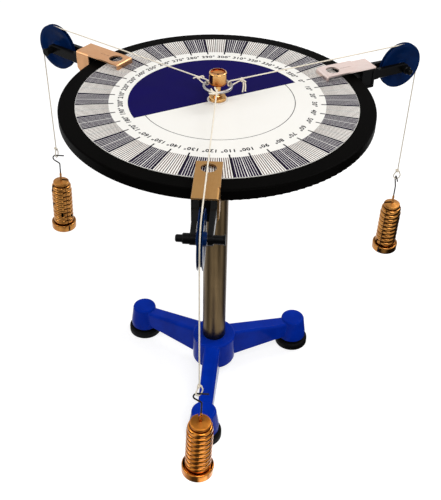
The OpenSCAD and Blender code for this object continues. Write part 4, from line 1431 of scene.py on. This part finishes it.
def dress(node: str, material: Material) -> None:
    """Gives a part of the construction its finish.

    Args:
        node: The part's name.
        material: Its finish.
    """
    part = frame["nodes"][node]
    if not part.material_slots:
        part.data.materials.append(material)
    for slot in part.material_slots:
        slot.material = material
    log.info("%s: %s", node, material.name)


@dataclass
class Stand:
    """Tripod, column, flange and board."""

    steel_parts: tuple[str, ...] = (
        "column_plug", "column_bolt", "column_washer", "board_flange", "flange_screws",
    )
    feet: int = 3

    def build(self) -> None:
        """Dresses the stand's parts."""
        steel = STEEL.material()
        rubber = RUBBER.material()
        dress("tripod_base", ENAMEL.material())
        dress("column", COLUMN_STEEL.material(lift=math.pi / 2))
        for node in self.steel_parts:
            dress(node, steel)
        dress("table_board", BOARD.material())
        dress("dial_card", CARD.material())
        for k in range(1, self.feet + 1):
            dress(f"foot_pad_{k}", rubber)
            dress(f"foot_stud_{k}", steel)


@dataclass
class CentrePin:
    """Washer, collar, pin with its knob, and the force ring."""

    brass_parts: tuple[str, ...] = ("post_collar", "centre_post")

    def build(self) -> None:
        """Dresses the parts at the dial's centre."""
        brass = PIN_BRASS.material()
        for node in self.brass_parts:
            dress(node, brass)
        dress("post_washer", WASHER.material())
        dress("post_knob", KNOB_BRASS.material())
        dress("force_ring", STEEL.material())


@dataclass
class Clamp:
    """One bracket with its fork, pulley, axle, screws and string, and the hanger below."""

    place: ClampPlace
    string: StringRun
    sheet: Finish
    slot_turns_degrees: tuple[float, ...]
    brass: Finish = BRASS
    moulded_parts: tuple[str, ...] = ("pulley_fork", "axle_knob", "axle_cap")
    screw_parts: tuple[str, ...] = ("fork_screws", "clamp_screw", "press_disc")

    def build(self, cord: Material) -> None:
        """Dresses the clamp's parts and makes its string, hook, sleeve and masses.

        Args:
            cord: The string's finish.
        """
        name = self.place.name
        self.string.build(cord)
        on_axle = {"origin": self.place.axle, "turn": self.place.azimuth + math.pi / 2, "lift": math.pi / 2}
        dress(f"bracket_{name}", self.sheet.material(turn=self.place.azimuth))
        moulded = MOULDED.material()
        for node in self.moulded_parts:
            dress(f"{node}_{name}", moulded)
        dress(f"pulley_axle_{name}", STEEL.material(**on_axle))
        dress(f"pulley_{name}", PULLEY_BLUE.material(**on_axle))
        screw_steel = STEEL.material(origin=self.place.screw)
        for node in self.screw_parts:
            dress(f"{node}_{name}", screw_steel)
        rod = self.place.hanger_to_row() @ Vector((ROD_ASIDE_MM * MM, 0, 0))
        on_rod = {"origin": rod, "turn": self.place.hook_turn, "lift": self.place.lean}
        brass = self.brass.material(**on_rod)
        satin = replace(self.brass, name="satin_brass", rough_low=0.34, rough_high=0.46, shade_and_soiling_share=0.6)
        dress(f"hanger_base_{name}", brass)
        MassStack(self.place, self.slot_turns_degrees).build(brass, satin.material(**on_rod))
        Hanger(self.place).build(brass, HOOK_STEEL.material())


def clamps() -> list[Clamp]:
    """Describes the three clamps, each with its string's own loops and tails.

    Returns:
        The clamps, from the front one.
    """
    front, right, left = (ClampPlace.read(name) for name in CLAMPS)
    front_string = StringRun(front, hook_loop_turn=math.radians(42), ring_knot_out_mm=6.0, tails_mm=(
        ((-1.0, -2.5, 0.5), (-4.0, -5.5, 0.8), (-6.5, -7.5, 2.4)),
        ((0.5, -3.0, 0.6), (-1.0, -6.5, 1.4), (-3.5, -9.5, 0.6)),
        ((2.0, -2.5, 0.2), (2.5, -6.0, 0.4), (0.5, -9.0, -0.6)),
        ((-3.0, -0.5, 1.2), (-6.0, -2.0, 2.4), (-7.5, -3.0, 4.2)),
    ))
    right_string = StringRun(right, hook_loop_turn=math.radians(5), ring_knot_out_mm=15.7, tails_mm=(
        ((1.0, -2.5, -2.0), (0.5, -5.0, -7.0), (-1.5, -7.0, -14.0)),
        ((2.5, -2.0, -1.0), (3.0, -5.5, -6.0), (1.5, -8.5, -13.0)),
        ((1.5, -3.0, 0.0), (3.0, -6.5, -1.0)),
    ))
    left_string = StringRun(left, hook_loop_turn=math.radians(76), ring_knot_out_mm=13.0, tails_mm=(
        ((2.5, 2.0, 0.4), (5.5, 3.0, -1.6)),
        ((-1.5, -2.5, 0.8), (-4.0, -4.0, 1.6), (-7.0, -3.0, 1.2)),
    ))
    front_slots = (95, 10, -5, 30, 60, 140, 80, 20, 110, 45)
    right_slots = (-100, 80, 100, 60, 150, 120, 90, 70, -150, -70)
    left_slots = (20, -150, -155, 60, 100, -145, 40, -85, -20, 120)
    return [
        Clamp(front, front_string, SHADED_SHEET_AT_FRONT, front_slots),
        Clamp(right, right_string, LIT_SHEET_AT_RIGHT, right_slots, SHADED_BRASS),
        Clamp(left, left_string, SHEET, left_slots, SHADED_BRASS),
    ]


def main() -> None:
    """Builds the studio, the shader groups, the clamps, the dial and the stand."""
    logging.basicConfig(level=logging.INFO, format="%(message)s")
    Studio().build()
    for mask in MASKS:
        mask.build()
    cord = CORD.material()
    for clamp in clamps():
        clamp.build(cord)
    DialPrint().build()
    CentrePin().build()
    Stand().build()


if __name__ == "__main__":
    main()
